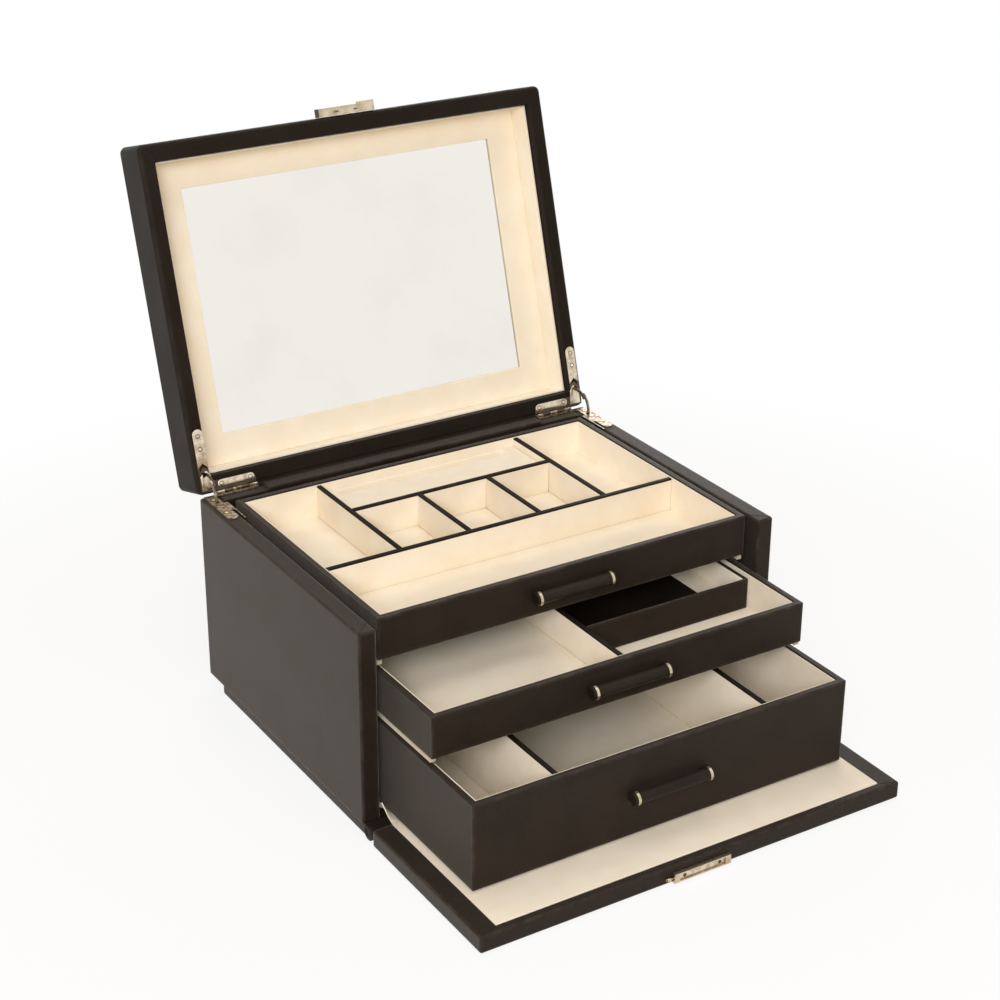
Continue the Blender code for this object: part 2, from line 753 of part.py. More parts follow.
def build_bottom_drawer():
    """Build the deep bottom drawer with its two long dividers."""
    axis = build_drawer(BOTTOM_DRAWER)
    half = DIVIDER_THICKNESS / 2
    for side, word in ((-1, "left"), (1, "right")):
        middle = side * BOTTOM_DIVIDER_X
        divider(
            f"divider_bottom_{word}",
            (middle - half, compartment_front + SEAT), (middle + half, compartment_back - SEAT),
            BOTTOM_DRAWER, axis,
        )


def build_middle_drawer():
    """Build the middle drawer with its divider and the tray that slides and lifts out."""
    axis = build_drawer(MIDDLE_DRAWER)
    half = DIVIDER_THICKNESS / 2
    divider(
        "divider_middle",
        (-half, compartment_front + SEAT), (half, compartment_back - SEAT),
        MIDDLE_DRAWER, axis,
    )
    front = compartment_front + LIFT_TRAY_FREE_LENGTH
    tray_axis = make_axis("lift_tray_slide", (0, front, compartment_floor + SEAT), axis)
    low_x = half + LIFT_TRAY_SIDE_GAP
    high_x = compartment_half_width - LIFT_TRAY_SIDE_GAP
    depth = compartment_back - LIFT_TRAY_SIDE_GAP - front
    tray(
        "lift_tray",
        (low_x, 0, 0), (high_x, depth, LIFT_TRAY_HEIGHT),
        LIFT_TRAY_WALL, LIFT_TRAY_FLOOR, tray_axis, INNER_LEATHER, DRAWER_EDGE_RADIUS,
    )
    inset = LIFT_TRAY_WALL + SEAT
    tray(
        "lift_tray_lining",
        (low_x + inset, inset, LIFT_TRAY_FLOOR + SEAT),
        (high_x - inset, depth - inset, LIFT_TRAY_HEIGHT - LINING_DROP),
        SUEDE, SUEDE, tray_axis, SUEDE_CREAM, LINING_EDGE_RADIUS, 1,
    )


def build_top_drawer():
    """Build the top drawer with its grid of dividers and its padded insert."""
    axis = build_drawer(TOP_DRAWER)
    half = DIVIDER_THICKNESS / 2
    gap = half + SEAT
    edge = compartment_half_width - SEAT
    divider(
        "divider_top_front",
        (-edge, TOP_CROSS_DIVIDER_Y - half), (edge, TOP_CROSS_DIVIDER_Y + half),
        TOP_DRAWER, axis,
    )
    rear_edge = TOP_LONG_DIVIDER_X - gap
    divider(
        "divider_top_rear",
        (-rear_edge, TOP_REAR_DIVIDER_Y - half), (rear_edge, TOP_REAR_DIVIDER_Y + half),
        TOP_DRAWER, axis,
    )
    for side, word in ((-1, "left"), (1, "right")):
        long_x = side * TOP_LONG_DIVIDER_X
        divider(
            f"divider_top_long_{word}",
            (long_x - half, TOP_CROSS_DIVIDER_Y + gap), (long_x + half, compartment_back - SEAT),
            TOP_DRAWER, axis,
        )
        small_x = side * TOP_SMALL_DIVIDER_X
        divider(
            f"divider_top_small_{word}",
            (small_x - half, TOP_CROSS_DIVIDER_Y + gap), (small_x + half, TOP_REAR_DIVIDER_Y - gap),
            TOP_DRAWER, axis,
        )
    pad_back = compartment_back - SEAT
    pad_top = TOP_DRAWER_HEIGHT - PAD_DROP
    pad = boxes(
        "top_rear_pad",
        [((-rear_edge, TOP_REAR_DIVIDER_Y + gap, compartment_floor + SEAT), (rear_edge, pad_back, pad_top))],
        axis, parts,
    )
    groove_back = pad_back - PAD_GROOVE_INSET
    groove = boxes(
        "pad_groove",
        [(
            (-half_width, groove_back - PAD_GROOVE_WIDTH, pad_top - PAD_GROOVE_DEPTH),
            (half_width, groove_back, pad_top + CUT_OVERRUN),
        )],
        axis, cutters,
    )
    cut(pad, groove)
    finish(round_edges(pad, PAD_EDGE_RADIUS, 3), SUEDE_CREAM)


def build_lid():
    """Build the lid about its hinge axis as it lies closed, on an axis that stands open."""
    axis = make_axis("lid_axis", (0, lid_axis_y, lid_axis_z), case_front, -LID_OPEN_ANGLE)
    front = door_axis_y - door_axis_z + LID_FRONT_BACKSET - lid_axis_y
    rim = knuckle_space
    shell = boxes(
        "lid_shell", [((-half_width, front, rim), (half_width, HINGE_INSET, rim + LID_HEIGHT))], axis, parts,
    )
    round_upright_edges(shell, LID_CORNER_RADIUS)
    round_edges(shell, LID_OUTER_RADIUS, 3)
    edge = half_width - LID_SIDE_BORDER
    recess_front = front + LID_FRONT_BORDER
    recess_back = HINGE_INSET - LID_BACK_BORDER
    frame_face = rim + LID_VIEW_DEPTH
    frame_back = frame_face + MIRROR_FRAME_THICKNESS
    recess_top = frame_back + SEAT + LID_LINING_THICKNESS + SEAT
    recess_low = (-edge, recess_front, rim - CUT_OVERRUN)
    cut(shell, boxes("lid_recess", [(recess_low, (edge, recess_back, recess_top))], axis, cutters))
    round_edges(shell, LID_RIM_RADIUS, 2, RIM_ANGLE)
    reach = arm_pocket_reach()
    for side in (-1, 1):
        low_x, high_x = pocket_span(side, case_arm_inset)
        pocket = boxes(
            f"lid_pocket_{side}",
            [((low_x, -reach[0], rim - CUT_OVERRUN), (high_x, -reach[1], reach[2]))],
            axis, cutters,
        )
        cut(shell, pocket)
    finish(shell, LEATHER)
    build_lid_lining(axis, edge, recess_front, recess_back, recess_top)
    build_mirror(axis, edge, recess_front, recess_back, frame_face)
    build_lid_catch(axis, front)
    for side, word in ((-1, "left"), (1, "right")):
        build_lid_hinge(axis, side, word)


def build_lid_lining(axis, edge, recess_front, recess_back, recess_top):
    """Build the suede lining of the lid's recess, an open tray upside down."""
    low = (SEAT - edge, recess_front + SEAT, knuckle_space + LID_LINING_DROP)
    high = (edge - SEAT, recess_back - SEAT, recess_top - SEAT)
    lining = boxes("lid_lining", [(low, high)], axis, parts)
    thickness = LID_LINING_THICKNESS
    hollow_low = Vector(low) + Vector((thickness, thickness, -CUT_OVERRUN))
    hollow_high = Vector(high) - Vector((thickness, thickness, thickness))
    hollow = boxes("lid_lining_hollow", [(hollow_low, hollow_high)], axis, cutters)
    finish(cut(lining, hollow), SUEDE_CREAM)


def build_mirror(axis, edge, recess_front, recess_back, frame_face):
    """Build the mirror and the padded frame that holds it in the lid."""
    inset = SEAT + LID_LINING_THICKNESS + SEAT
    frame_back = frame_face + MIRROR_FRAME_THICKNESS
    low = (inset - edge, recess_front + inset, frame_face)
    high = (edge - inset, recess_back - inset, frame_back)
    frame = boxes("mirror_frame", [(low, high)], axis, parts)
    window_low = Vector(low) + Vector((MIRROR_SIDE_BORDER, MIRROR_FRONT_BORDER, -CUT_OVERRUN))
    window_high = Vector(high) - Vector((MIRROR_SIDE_BORDER, MIRROR_BACK_BORDER, -CUT_OVERRUN))
    cut(frame, boxes("mirror_window", [(window_low, window_high)], axis, cutters))
    glass_inset = MIRROR_SIDE_BORDER - MIRROR_OVERLAP
    glass_front = low[1] + MIRROR_FRONT_BORDER - MIRROR_OVERLAP
    glass_back = high[1] - MIRROR_BACK_BORDER + MIRROR_OVERLAP
    glass_low = Vector((low[0] + glass_inset, glass_front, frame_back - MIRROR_THICKNESS))
    glass_high = Vector((high[0] - glass_inset, glass_back, frame_back))
    room = Vector((SEAT, SEAT, SEAT))
    rebate_high = glass_high + Vector((SEAT, SEAT, CUT_OVERRUN))
    cut(frame, boxes("mirror_rebate", [(glass_low - room, rebate_high)], axis, cutters))
    finish(frame, SUEDE_CREAM)
    block("mirror", glass_low, glass_high, axis, SILVERED_GLASS)


def build_lid_catch(axis, front):
    """Build the gold hasp that stands out from the lid's front edge."""
    face = front - SEAT
    tip = front - LID_CATCH_REACH
    low_z = knuckle_space + LID_CATCH_RIM_INSET
    high_z = low_z + LID_CATCH_HEIGHT
    sheet = LID_CATCH_SHEET
    catch = boxes(
        "lid_catch", [((LID_CATCH_LEFT, tip, low_z), (LID_CATCH_RIGHT, face, low_z + sheet))], axis, parts,
    )
    back = boxes(
        "lid_catch_back", [((LID_CATCH_LEFT, face - sheet, low_z), (LID_CATCH_RIGHT, face, high_z))],
        axis, cutters,
    )
    cheek = boxes(
        "lid_catch_cheek",
        [((LID_CATCH_LEFT, tip, low_z), (LID_CATCH_LEFT + LID_CATCH_CHEEK, face, high_z))], axis, cutters,
    )
    block_low = (LID_CATCH_RIGHT - LID_CATCH_BLOCK_LENGTH, tip - LID_CATCH_BLOCK_RISE, low_z)
    end_block = boxes("lid_catch_block", [(block_low, (LID_CATCH_RIGHT, face, high_z))], axis, cutters)
    for tool in (back, cheek, end_block):
        join(catch, tool)
    slot_far = face - sheet - sheet
    slot_near = slot_far - LID_CATCH_SLOT_WIDTH
    slots = []
    for end, side in ((LID_CATCH_LEFT, 1), (LID_CATCH_RIGHT, -1)):
        start = end + side * LID_CATCH_SLOT_INSET
        low_x, high_x = sorted((start, start + side * LID_CATCH_SLOT_LENGTH))
        slots.append(((low_x, slot_near, low_z - CUT_OVERRUN), (high_x, slot_far, high_z + CUT_OVERRUN)))
    finish(cut(catch, boxes("lid_catch_slots", slots, axis, cutters)), GOLD)


def leaf_outline(side, back_width):
    """Draw an L-shaped hinge leaf with rounded legs, as points (x, y) about the hinge axis."""
    near = -LEAF_BACK_EDGE
    far = near - back_width
    round_radius = SIDE_LEG_WIDTH / 2
    corner = back_width * BACK_LEG_CORNER_SHARE
    tip_center = (leaf_outer - round_radius, round_radius - SIDE_LEG_REACH)
    points = [(leaf_outer, near)]
    points += arc(tip_center, round_radius, 0, -pi, ROUND_STEPS)
    points += [(side_leg_inner, far)]
    points += arc((leaf_inner + corner, far + corner), corner, -pi / 2, -pi, ROUND_STEPS)
    points += [(leaf_inner, near)]
    return [(side * x, y) for x, y in points]


def knuckle_spans(side, first):
    """List the ends along X of every other knuckle, from the first one given."""
    pitch = (barrel_outer - leaf_inner + KNUCKLE_GAP) / KNUCKLE_COUNT
    starts = [leaf_inner + pitch * index for index in range(first, KNUCKLE_COUNT, 2)]
    return [tuple(sorted((side * start, side * (start + pitch - KNUCKLE_GAP)))) for start in starts]


def arm_outline(start, end):
    """Draw a stop arm, a strip bent round the hinge axis, as points (y, z)."""
    outer = arc((0, 0), ARM_RADIUS + ARM_WIDTH / 2, start, end, ARM_STEPS)
    inner = arc((0, 0), ARM_RADIUS - ARM_WIDTH / 2, start, end, ARM_STEPS)
    return outer + inner[::-1]


def build_leaf(name, side, axis, level, first_knuckle, arm_inset, slot_inset):
    """Build a hinge leaf with its knuckles, its curved stop arm and the slot for the other arm."""
    low_z = level * knuckle_space - level * LEAF_SEAT
    high_z = low_z - level * LEAF_THICKNESS
    back_width = CASE_BACK_LEG_WIDTH if level < 0 else BACK_LEG_WIDTH
    leaf = extrusion(name, leaf_outline(side, back_width), low_z, high_z, axis, parts)
    spans = knuckle_spans(side, first_knuckle)
    tab_back = -LEAF_BACK_EDGE - KNUCKLE_RADIUS
    bottom, top = sorted((low_z, high_z))
    tab_corners = [((low, tab_back, bottom), (high, 0, top)) for low, high in spans]
    tabs = boxes(name + "_tabs", tab_corners, axis, cutters)
    barrels = rods(name + "_barrels", spans, KNUCKLE_RADIUS, (0, 0), axis, cutters)
    arm_low, arm_high = arm_span(side, arm_inset)
    root = pi - level * ARM_ROOT
    tip = pi + level * ARM_SWEEP
    arm = extrusion(name + "_arm", arm_outline(root, tip), arm_low, arm_high, axis, cutters, along_x=True)
    for tool in (tabs, barrels, arm):
        join(leaf, tool)
    bore = rods(name + "_bore", [(-half_width, half_width)], KNUCKLE_BORE_RADIUS, (0, 0), axis, cutters)
    slot_low, slot_high = arm_span(side, slot_inset)
    reach = ARM_WIDTH / 2 + SLOT_CLEARANCE
    slot = boxes(
        name + "_slot",
        [(
            (slot_low - SEAT, -ARM_RADIUS - reach, bottom - CUT_OVERRUN),
            (slot_high + SEAT, reach - ARM_RADIUS, top + CUT_OVERRUN),
        )],
        axis, cutters,
    )
    for tool in (bore, slot):
        cut(leaf, tool)
    return leaf


def notch_outline(side):
    """Draw the V-shaped notch across the lid leaf's side leg, short of its outer edge."""
    right = leaf_outer - NOTCH_WEB
    left = side_leg_inner - CUT_OVERRUN
    middle = (leaf_outer + side_leg_inner) / 2
    near = [(right, -NOTCH_NEAR), (middle, -NOTCH_NEAR - NOTCH_RISE), (left, -NOTCH_NEAR)]
    far = [(x, y - NOTCH_WIDTH) for x, y in near[::-1]]
    return [(side * x, y) for x, y in near + far]


def build_lid_hinge(lid_axis, side, word):
    """Build one quadrant hinge: a leaf on the case, a leaf on the lid and the pin of both."""
    case_axis = case_hinge_axis
    case_name = f"hinge_case_leaf_{word}"
    lid_name = f"hinge_lid_leaf_{word}"
    case_leaf = build_leaf(case_name, side, case_axis, -1, 0, case_arm_inset, LID_ARM_INSET)
    top = LEAF_SEAT + LEAF_THICKNESS - knuckle_space
    inner = inner_half_width - SEAT
    web_x = side_leg_inner + SEAT
    flange_inner = inner - LEAF_THICKNESS
    flange_x = sorted((side * flange_inner, side * inner))
    reach_x = sorted((side * flange_inner, side * web_x))
    web = boxes(
        case_name + "_web",
        [((reach_x[0], -FLANGE_NEAR - WEB_LENGTH, top - LEAF_THICKNESS), (reach_x[1], -FLANGE_NEAR, top))],
        case_axis, cutters,
    )
    flange = boxes(
        case_name + "_flange",
        [((flange_x[0], -FLANGE_FAR, top - FLANGE_HEIGHT), (flange_x[1], -FLANGE_NEAR, top))],
        case_axis, cutters,
    )
    finish(join(join(case_leaf, web), flange), STEEL)
    lid_leaf = build_leaf(lid_name, side, lid_axis, 1, 1, LID_ARM_INSET, case_arm_inset)
    notch_top = knuckle_space + CUT_OVERRUN
    notch = extrusion(lid_name + "_notch", notch_outline(side), -CUT_OVERRUN, notch_top, lid_axis, cutters)
    finish(cut(lid_leaf, notch), STEEL)
    pin_ends = sorted((side * leaf_inner, side * barrel_outer))
    pin = rods(f"hinge_pin_{word}", [pin_ends], PIN_RADIUS, (0, 0), case_axis, parts)
    finish(pin, STEEL)


clear_scene()
parts = make_collection("tiered_jewelry_box")
cutters = make_collection("cutters")
case_front = make_axis("case_front", (0, -base_middle, 0), None)
case_hinge_axis = make_axis("case_hinge_axis", (0, lid_axis_y, lid_axis_z), case_front)
build_case()
build_door_hinge()
build_door()
build_bottom_drawer()
build_middle_drawer()
build_top_drawer()
build_lid()
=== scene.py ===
"""Dress the tiered jewelry box: its leather, suede, mirror and gold-coloured fittings, and a plain studio.

X runs to the right, Y to the back and Z up, in metres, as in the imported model. The sizes inside the
classes are measured from the front edge of the case, and the lid's are those of the closed lid,
measured from its hinge axis.
"""

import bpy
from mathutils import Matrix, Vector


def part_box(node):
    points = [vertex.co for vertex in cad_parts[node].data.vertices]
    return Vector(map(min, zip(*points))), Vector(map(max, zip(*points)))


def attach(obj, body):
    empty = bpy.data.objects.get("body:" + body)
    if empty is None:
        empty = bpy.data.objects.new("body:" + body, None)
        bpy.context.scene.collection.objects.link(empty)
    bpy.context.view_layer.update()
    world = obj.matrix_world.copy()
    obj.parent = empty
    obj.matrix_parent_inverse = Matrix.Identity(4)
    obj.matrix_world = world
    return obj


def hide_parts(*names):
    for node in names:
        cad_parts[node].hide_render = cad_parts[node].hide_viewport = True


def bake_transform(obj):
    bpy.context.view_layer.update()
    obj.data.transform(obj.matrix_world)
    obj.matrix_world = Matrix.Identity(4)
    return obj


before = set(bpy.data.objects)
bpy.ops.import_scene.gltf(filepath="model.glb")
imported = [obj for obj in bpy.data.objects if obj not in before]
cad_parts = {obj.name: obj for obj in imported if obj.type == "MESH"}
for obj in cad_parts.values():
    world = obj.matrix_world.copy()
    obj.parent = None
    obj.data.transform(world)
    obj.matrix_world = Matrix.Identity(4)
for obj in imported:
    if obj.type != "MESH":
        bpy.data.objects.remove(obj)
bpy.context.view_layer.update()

import logging
from collections.abc import Callable, Iterator, Sequence
from contextlib import contextmanager
from dataclasses import dataclass
from enum import Enum
from math import cos, radians, sin

import bmesh
import bpy
from mathutils import Matrix, Vector

log = logging.getLogger("jewelry_box")

Pair = tuple[float, float]
Triple = tuple[float, float, float]
Point = Sequence[float]
Piece = bpy.types.Object
Socket = bpy.types.NodeSocket
Test = Callable[[Vector, Vector], bool]

FRONT_Y = -0.09875
LID_AXIS = Vector((0.0, 0.11605, 0.1378))
LID_TILT = radians(-106.3)
SMOOTH_ANGLE = radians(40.0)
STRAIGHT = 0.9
NEAR = 0.0001


class Side(Enum):
    """The left or the right of the box, with its sign along X."""

    LEFT = -1
    RIGHT = 1

    @property
    def word(self) -> str:
        """Give the side's name in the pieces' names."""
        return self.name.lower()


class Slot(Enum):
    """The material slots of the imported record."""

    LEATHER = "leather"
    INNER_LEATHER = "inner_leather"
    SUEDE = "suede"
    FELT = "felt"
    GOLD = "gold"
    STEEL = "steel"
    MIRROR = "mirror"


class Body(Enum):
    """The bodies that move on their own."""

    CASE = "case"
    LID = "lid"
    DOOR = "door"
    BUTTON = "door_button"
    BOTTOM = "bottom_drawer"
    MIDDLE = "middle_drawer"
    TOP = "top_drawer"
    LIFT_TRAY = "lift_out_tray"


# Modelling by hand


def deselect() -> None:
    """Leave edit mode and select nothing."""
    if bpy.context.mode != "OBJECT":
        bpy.ops.object.mode_set(mode="OBJECT")
    bpy.ops.object.select_all(action="DESELECT")


def select_only(*items: Piece) -> None:
    """Select some objects alone, the first of them active.

    Args:
        items: The objects.
    """
    deselect()
    for item in items:
        item.select_set(True)
    bpy.context.view_layer.objects.active = items[0]


def named(name: str) -> Piece:
    """Name the active object and its mesh, and put its place, turn and scale into the mesh.

    Args:
        name: The name that it gets.

    Returns:
        The object.
    """
    piece = bpy.context.active_object
    piece.name = piece.data.name = name
    select_only(piece)
    bpy.ops.object.transform_apply(location=True, rotation=True, scale=True)
    return piece


def start_block(name: str, low: Point, high: Point) -> Piece:
    """Start a piece from a cube between two corners.

    Args:
        name: The piece's name.
        low: Its lowest corner.
        high: Its highest corner.

    Returns:
        The piece.
    """
    deselect()
    low, high = Vector(low), Vector(high)
    bpy.ops.mesh.primitive_cube_add(size=1, location=(low + high) / 2, scale=high - low)
    return named(name)


def start_rod(name: str, start: Point, end: Point, radius: float, sides: int) -> Piece:
    """Start a piece from a cylinder between two points.

    Args:
        name: The piece's name.
        start: The middle of its first end.
        end: The middle of its other end.
        radius: Its radius.
        sides: How many sides it has.

    Returns:
        The piece.
    """
    deselect()
    start, end = Vector(start), Vector(end)
    along = end - start
    turn = along.to_track_quat("Z", "Y").to_euler()
    bpy.ops.mesh.primitive_cylinder_add(
        vertices=sides, radius=radius, depth=along.length, location=(start + end) / 2, rotation=turn,
    )
    return named(name)


@contextmanager
def editing(piece: Piece, mode: str = "FACE", everything: bool = False) -> Iterator[None]:
    """Edit a piece's mesh.

    Args:
        piece: The piece.
        mode: What is selected: EDGE or FACE.
        everything: Start with all of it selected, not with nothing.

    Yields:
        Nothing.
    """
    select_only(piece)
    bpy.ops.object.mode_set(mode="EDIT")
    bpy.ops.mesh.select_mode(type=mode)
    bpy.ops.mesh.select_all(action="SELECT" if everything else "DESELECT")
    yield
    bpy.ops.object.mode_set(mode="OBJECT")


def facing(x: float = 0, y: float = 0, z: float = 0) -> Test:
    """Give the test for faces that look one way."""
    return lambda middle, normal: normal.dot(Vector((x, y, z))) > STRAIGHT


def along_axis(axis: int) -> Test:
    """Give the test for edges along an axis, or faces square to it."""
    return lambda middle, way: abs(way[axis]) > STRAIGHT


def pick_faces(test: Test) -> None:
    """Select the faces of the edited mesh that pass a test, and no others.

    Args:
        test: Takes a face's middle and its normal.
    """
    mesh = bmesh.from_edit_mesh(bpy.context.edit_object.data)
    chosen = [face for face in mesh.faces if test(face.calc_center_median(), face.normal)]
    for face in mesh.faces:
        face.select_set(False)
    for face in chosen:
        face.select_set(True)
    bmesh.update_edit_mesh(bpy.context.edit_object.data)


def pick_edges(test: Test) -> None:
    """Select the edges of the edited mesh that pass a test, and no others.

    Args:
        test: Takes an edge's middle and its direction.
    """
    mesh = bmesh.from_edit_mesh(bpy.context.edit_object.data)
    for edge in mesh.edges:
        first, last = (vert.co for vert in edge.verts)
        edge.select_set(test((first + last) / 2, (last - first).normalized()))
    bmesh.update_edit_mesh(bpy.context.edit_object.data)


def extrude_by(step: Point) -> None:
    """Extrude what is selected by a step along each axis."""
    bpy.ops.mesh.extrude_region_move(TRANSFORM_OT_translate={"value": Vector(step)})


def apply_modifier(piece: Piece, kind: str, **settings: object) -> Piece:
    """Add a modifier to a piece and apply it.

    Args:
        piece: The piece.
        kind: The modifier's type.
        settings: Its settings.

    Returns:
        The same piece.
    """
    select_only(piece)
    change = piece.modifiers.new(kind.lower(), kind)
    for key, value in settings.items():
        setattr(change, key, value)
    bpy.ops.object.modifier_apply(modifier=change.name)
    return piece


def round_edges(piece: Piece, width: float, segments: int = 3, angle: float = 40.0) -> Piece:
    """Round the sharp edges of a piece.

    Args:
        piece: The piece.
        width: The width of the rounding.
        segments: How many faces it has across.
        angle: The least angle that is rounded, in degrees.

    Returns:
        The same piece.
    """
    return apply_modifier(
        piece, "BEVEL", width=width, segments=segments, limit_method="ANGLE",
        angle_limit=radians(angle), use_clamp_overlap=True, harden_normals=False,
    )


def cut_away(piece: Piece, tool: Piece) -> None:
    """Cut a tool's shape out of a piece, and remove the tool."""
    apply_modifier(piece, "BOOLEAN", operation="DIFFERENCE", solver="EXACT", object=tool)
    bpy.data.objects.remove(tool, do_unlink=True)


def joined(name: str, items: Sequence[Piece]) -> Piece:
    """Join several objects in one, under a name."""
    select_only(*items)
    bpy.ops.object.join()
    return named(name)


def smooth(piece: Piece) -> None:
    """Shade a piece smooth, except over its sharp edges."""
    select_only(piece)
    bpy.ops.object.shade_smooth_by_angle(angle=SMOOTH_ANGLE)


def place_on_case(piece: Piece) -> Piece:
    """Move a piece from the case's front edge to the model's place."""
    piece.data.transform(Matrix.Translation((0, FRONT_Y, 0)))
    return piece


def lid_matrix() -> Matrix:
    """Give the move from the closed lid's frame to the open lid of the model."""
    return Matrix.Translation(LID_AXIS) @ Matrix.Rotation(LID_TILT, 4, "X")


def place_on_lid(piece: Piece) -> Piece:
    """Move a piece from the closed lid's frame to the open lid."""
    piece.data.transform(lid_matrix())
    return piece


# Materials


@dataclass
class NodeSheet:
    """A node tree under construction."""

    tree: bpy.types.NodeTree

    def give(self, socket: Socket, value: object) -> None:
        """Link an output to a socket, or set the socket's value.

        Args:
            socket: The socket.
            value: The output or the value.
        """
        if isinstance(value, Socket):
            self.tree.links.new(value, socket)
        else:
            socket.default_value = value

    def node(self, kind: str, values: dict | None = None, **settings: object) -> bpy.types.Node:
        """Add a node.

        Args:
            kind: The node's type.
            values: Its inputs by name or number, each a value or an output to link.
            settings: Its other settings.

        Returns:
            The node.
        """
        made = self.tree.nodes.new(kind)
        for key, value in settings.items():
            setattr(made, key, value)
        for key, value in (values or {}).items():
            self.give(made.inputs[key], value)
        return made

    def group(self, make: Callable[[], bpy.types.NodeTree], **values: object) -> object:
        """Add a shared effect with some of its inputs, and give its outputs."""
        return self.node("ShaderNodeGroup", values, node_tree=make()).outputs

    def math(
        self, operation: str, first: object, second: object = 0.0, third: object = 0.0, clamp: bool = False,
    ) -> Socket:
        """Add a sum of numbers.

        Args:
            operation: The kind of sum.
            first: The first number or output.
            second: The second one.
            third: The third one, where the sum has one.
            clamp: Keep the result from 0 to 1.

        Returns:
            The result.
        """
        values = {0: first, 1: second, 2: third}
        return self.node("ShaderNodeMath", values, operation=operation, use_clamp=clamp).outputs[0]

    def vector(self, operation: str, first: object, second: object) -> Socket:
        """Add a sum of two vectors."""
        return self.node("ShaderNodeVectorMath", {0: first, 1: second}, operation=operation).outputs[0]

    def spread(
        self, value: object, low: float, high: float, to_low: float = 0.0, to_high: float = 1.0,
    ) -> Socket:
        """Map a number smoothly from one range to another.

        Args:
            value: The number or output.
            low: The range's start.
            high: Its end.
            to_low: The result at the start.
            to_high: The result at the end.

        Returns:
            The result.
        """
        values = {"Value": value, "From Min": low, "From Max": high, "To Min": to_low, "To Max": to_high}
        return self.node("ShaderNodeMapRange", values, interpolation_type="SMOOTHSTEP").outputs[0]

    def mix(self, share: object, first: object, second: object) -> Socket:
        """Mix two colours.

        Args:
            share: The second colour's share.
            first: The first colour.
            second: The second colour.

        Returns:
            The colour.
        """
        made = self.node("ShaderNodeMix", {0: share}, data_type="RGBA")
        for index, value in ((6, first), (7, second)):
            self.give(made.inputs[index], value if isinstance(value, Socket) else (*value, 1))
        return made.outputs[2]

    def noise(self, vector: object, scale: object, detail: float = 3.0, roughness: float = 0.55) -> Socket:
        """Add soft noise.

        Args:
            vector: The place on the surface.
            scale: Waves per metre.
            detail: How many finer layers it has.
            roughness: How strong these are.

        Returns:
            The noise, from 0 to 1.
        """
        values = {"Vector": vector, "Scale": scale, "Detail": detail, "Roughness": roughness}
        return self.node("ShaderNodeTexNoise", values).outputs[0]

    def bump(self, strength: float, distance: float, height: Socket) -> Socket:
        """Turn a height into a bumpy normal."""
        values = {"Strength": strength, "Distance": distance, "Height": height}
        return self.node("ShaderNodeBump", values).outputs[0]

    def place(self) -> Socket:
        """Give the place on the piece, in metres."""
        return self.node("ShaderNodeTexCoord").outputs["Object"]


FLOAT = ("NodeSocketFloat", None)
VECTOR = ("NodeSocketVector", None)
COLOR = ("NodeSocketColor", None)


def number(value: float) -> tuple[str, float]:
    """Describe an input that takes a number, with its usual value."""
    return FLOAT[0], value


def effect(inputs: dict, outputs: dict) -> Callable:
    """Turn a drawing function into one that makes its shader node group once.

    Args:
        inputs: The group's inputs by name, each with its type and usual value.
        outputs: Its outputs by name, each with its type.

    Returns:
        What takes the drawing function, which gives the outputs by name.
    """

    def wrap(draw: Callable[[NodeSheet, object], dict]) -> Callable[[], bpy.types.NodeTree]:
        """Take the drawing function. Its name is the group's."""

        def make() -> bpy.types.NodeTree:
            """Make the group, or return it if it is there."""
            tree = bpy.data.node_groups.get(draw.__name__)
            if tree is not None:
                return tree
            tree = bpy.data.node_groups.new(draw.__name__, "ShaderNodeTree")
            for ends, way in ((inputs, "INPUT"), (outputs, "OUTPUT")):
                for key, (kind, value) in ends.items():
                    socket = tree.interface.new_socket(key, in_out=way, socket_type=kind)
                    if value is not None:
                        socket.default_value = value
            sheet = NodeSheet(tree)
            made = draw(sheet, sheet.node("NodeGroupInput").outputs)
            sheet.node("NodeGroupOutput", made)
            return tree

        return make

    return wrap


@effect(
    {"Place": VECTOR, "Scale": number(1400.0), "Warp": number(0.0002)}, {"Height": FLOAT, "Crease": FLOAT},
)
def leather_grain(sheet: NodeSheet, given: object) -> dict:
    """Draw pebbles between fine creases, with pores on them."""
    slope, pores_per_pebble, pore_height = 0.22, 3.1, 0.35
    place = given["Place"]
    wobble = sheet.node("ShaderNodeTexNoise", {"Vector": place, "Scale": given["Scale"]}).outputs["Color"]
    drift = sheet.node("ShaderNodeVectorMath", {0: wobble, "Scale": given["Warp"]}, operation="SCALE")
    values = {"Vector": sheet.vector("ADD", place, drift.outputs[0]), "Scale": given["Scale"]}
    cells = sheet.node("ShaderNodeTexVoronoi", values, feature="DISTANCE_TO_EDGE").outputs["Distance"]
    pebble = sheet.spread(cells, 0.0, slope)
    pores = sheet.noise(place, sheet.math("MULTIPLY", given["Scale"], pores_per_pebble), 2.0)
    height = sheet.math("MULTIPLY_ADD", pores, pore_height, pebble)
    return {"Height": height, "Crease": sheet.math("SUBTRACT", 1.0, pebble)}


@effect(
    {"Place": VECTOR, "Patches": number(60.0), "Fibres": number(2600.0)}, {"Height": FLOAT, "Shade": FLOAT},
)
def suede_nap(sheet: NodeSheet, given: object) -> dict:
    """Mix soft brushed patches with fine fibres."""
    patch_shade, patch_height = 0.6, 0.3
    patches = sheet.noise(given["Place"], given["Patches"], 2.0, 0.5)
    fibres = sheet.noise(given["Place"], given["Fibres"], 4.0, 0.7)
    faint = sheet.math("MULTIPLY", fibres, 1.0 - patch_shade)
    shade = sheet.math("MULTIPLY_ADD", patches, patch_shade, faint)
    return {"Height": sheet.math("MULTIPLY_ADD", patches, patch_height, fibres), "Shade": shade}


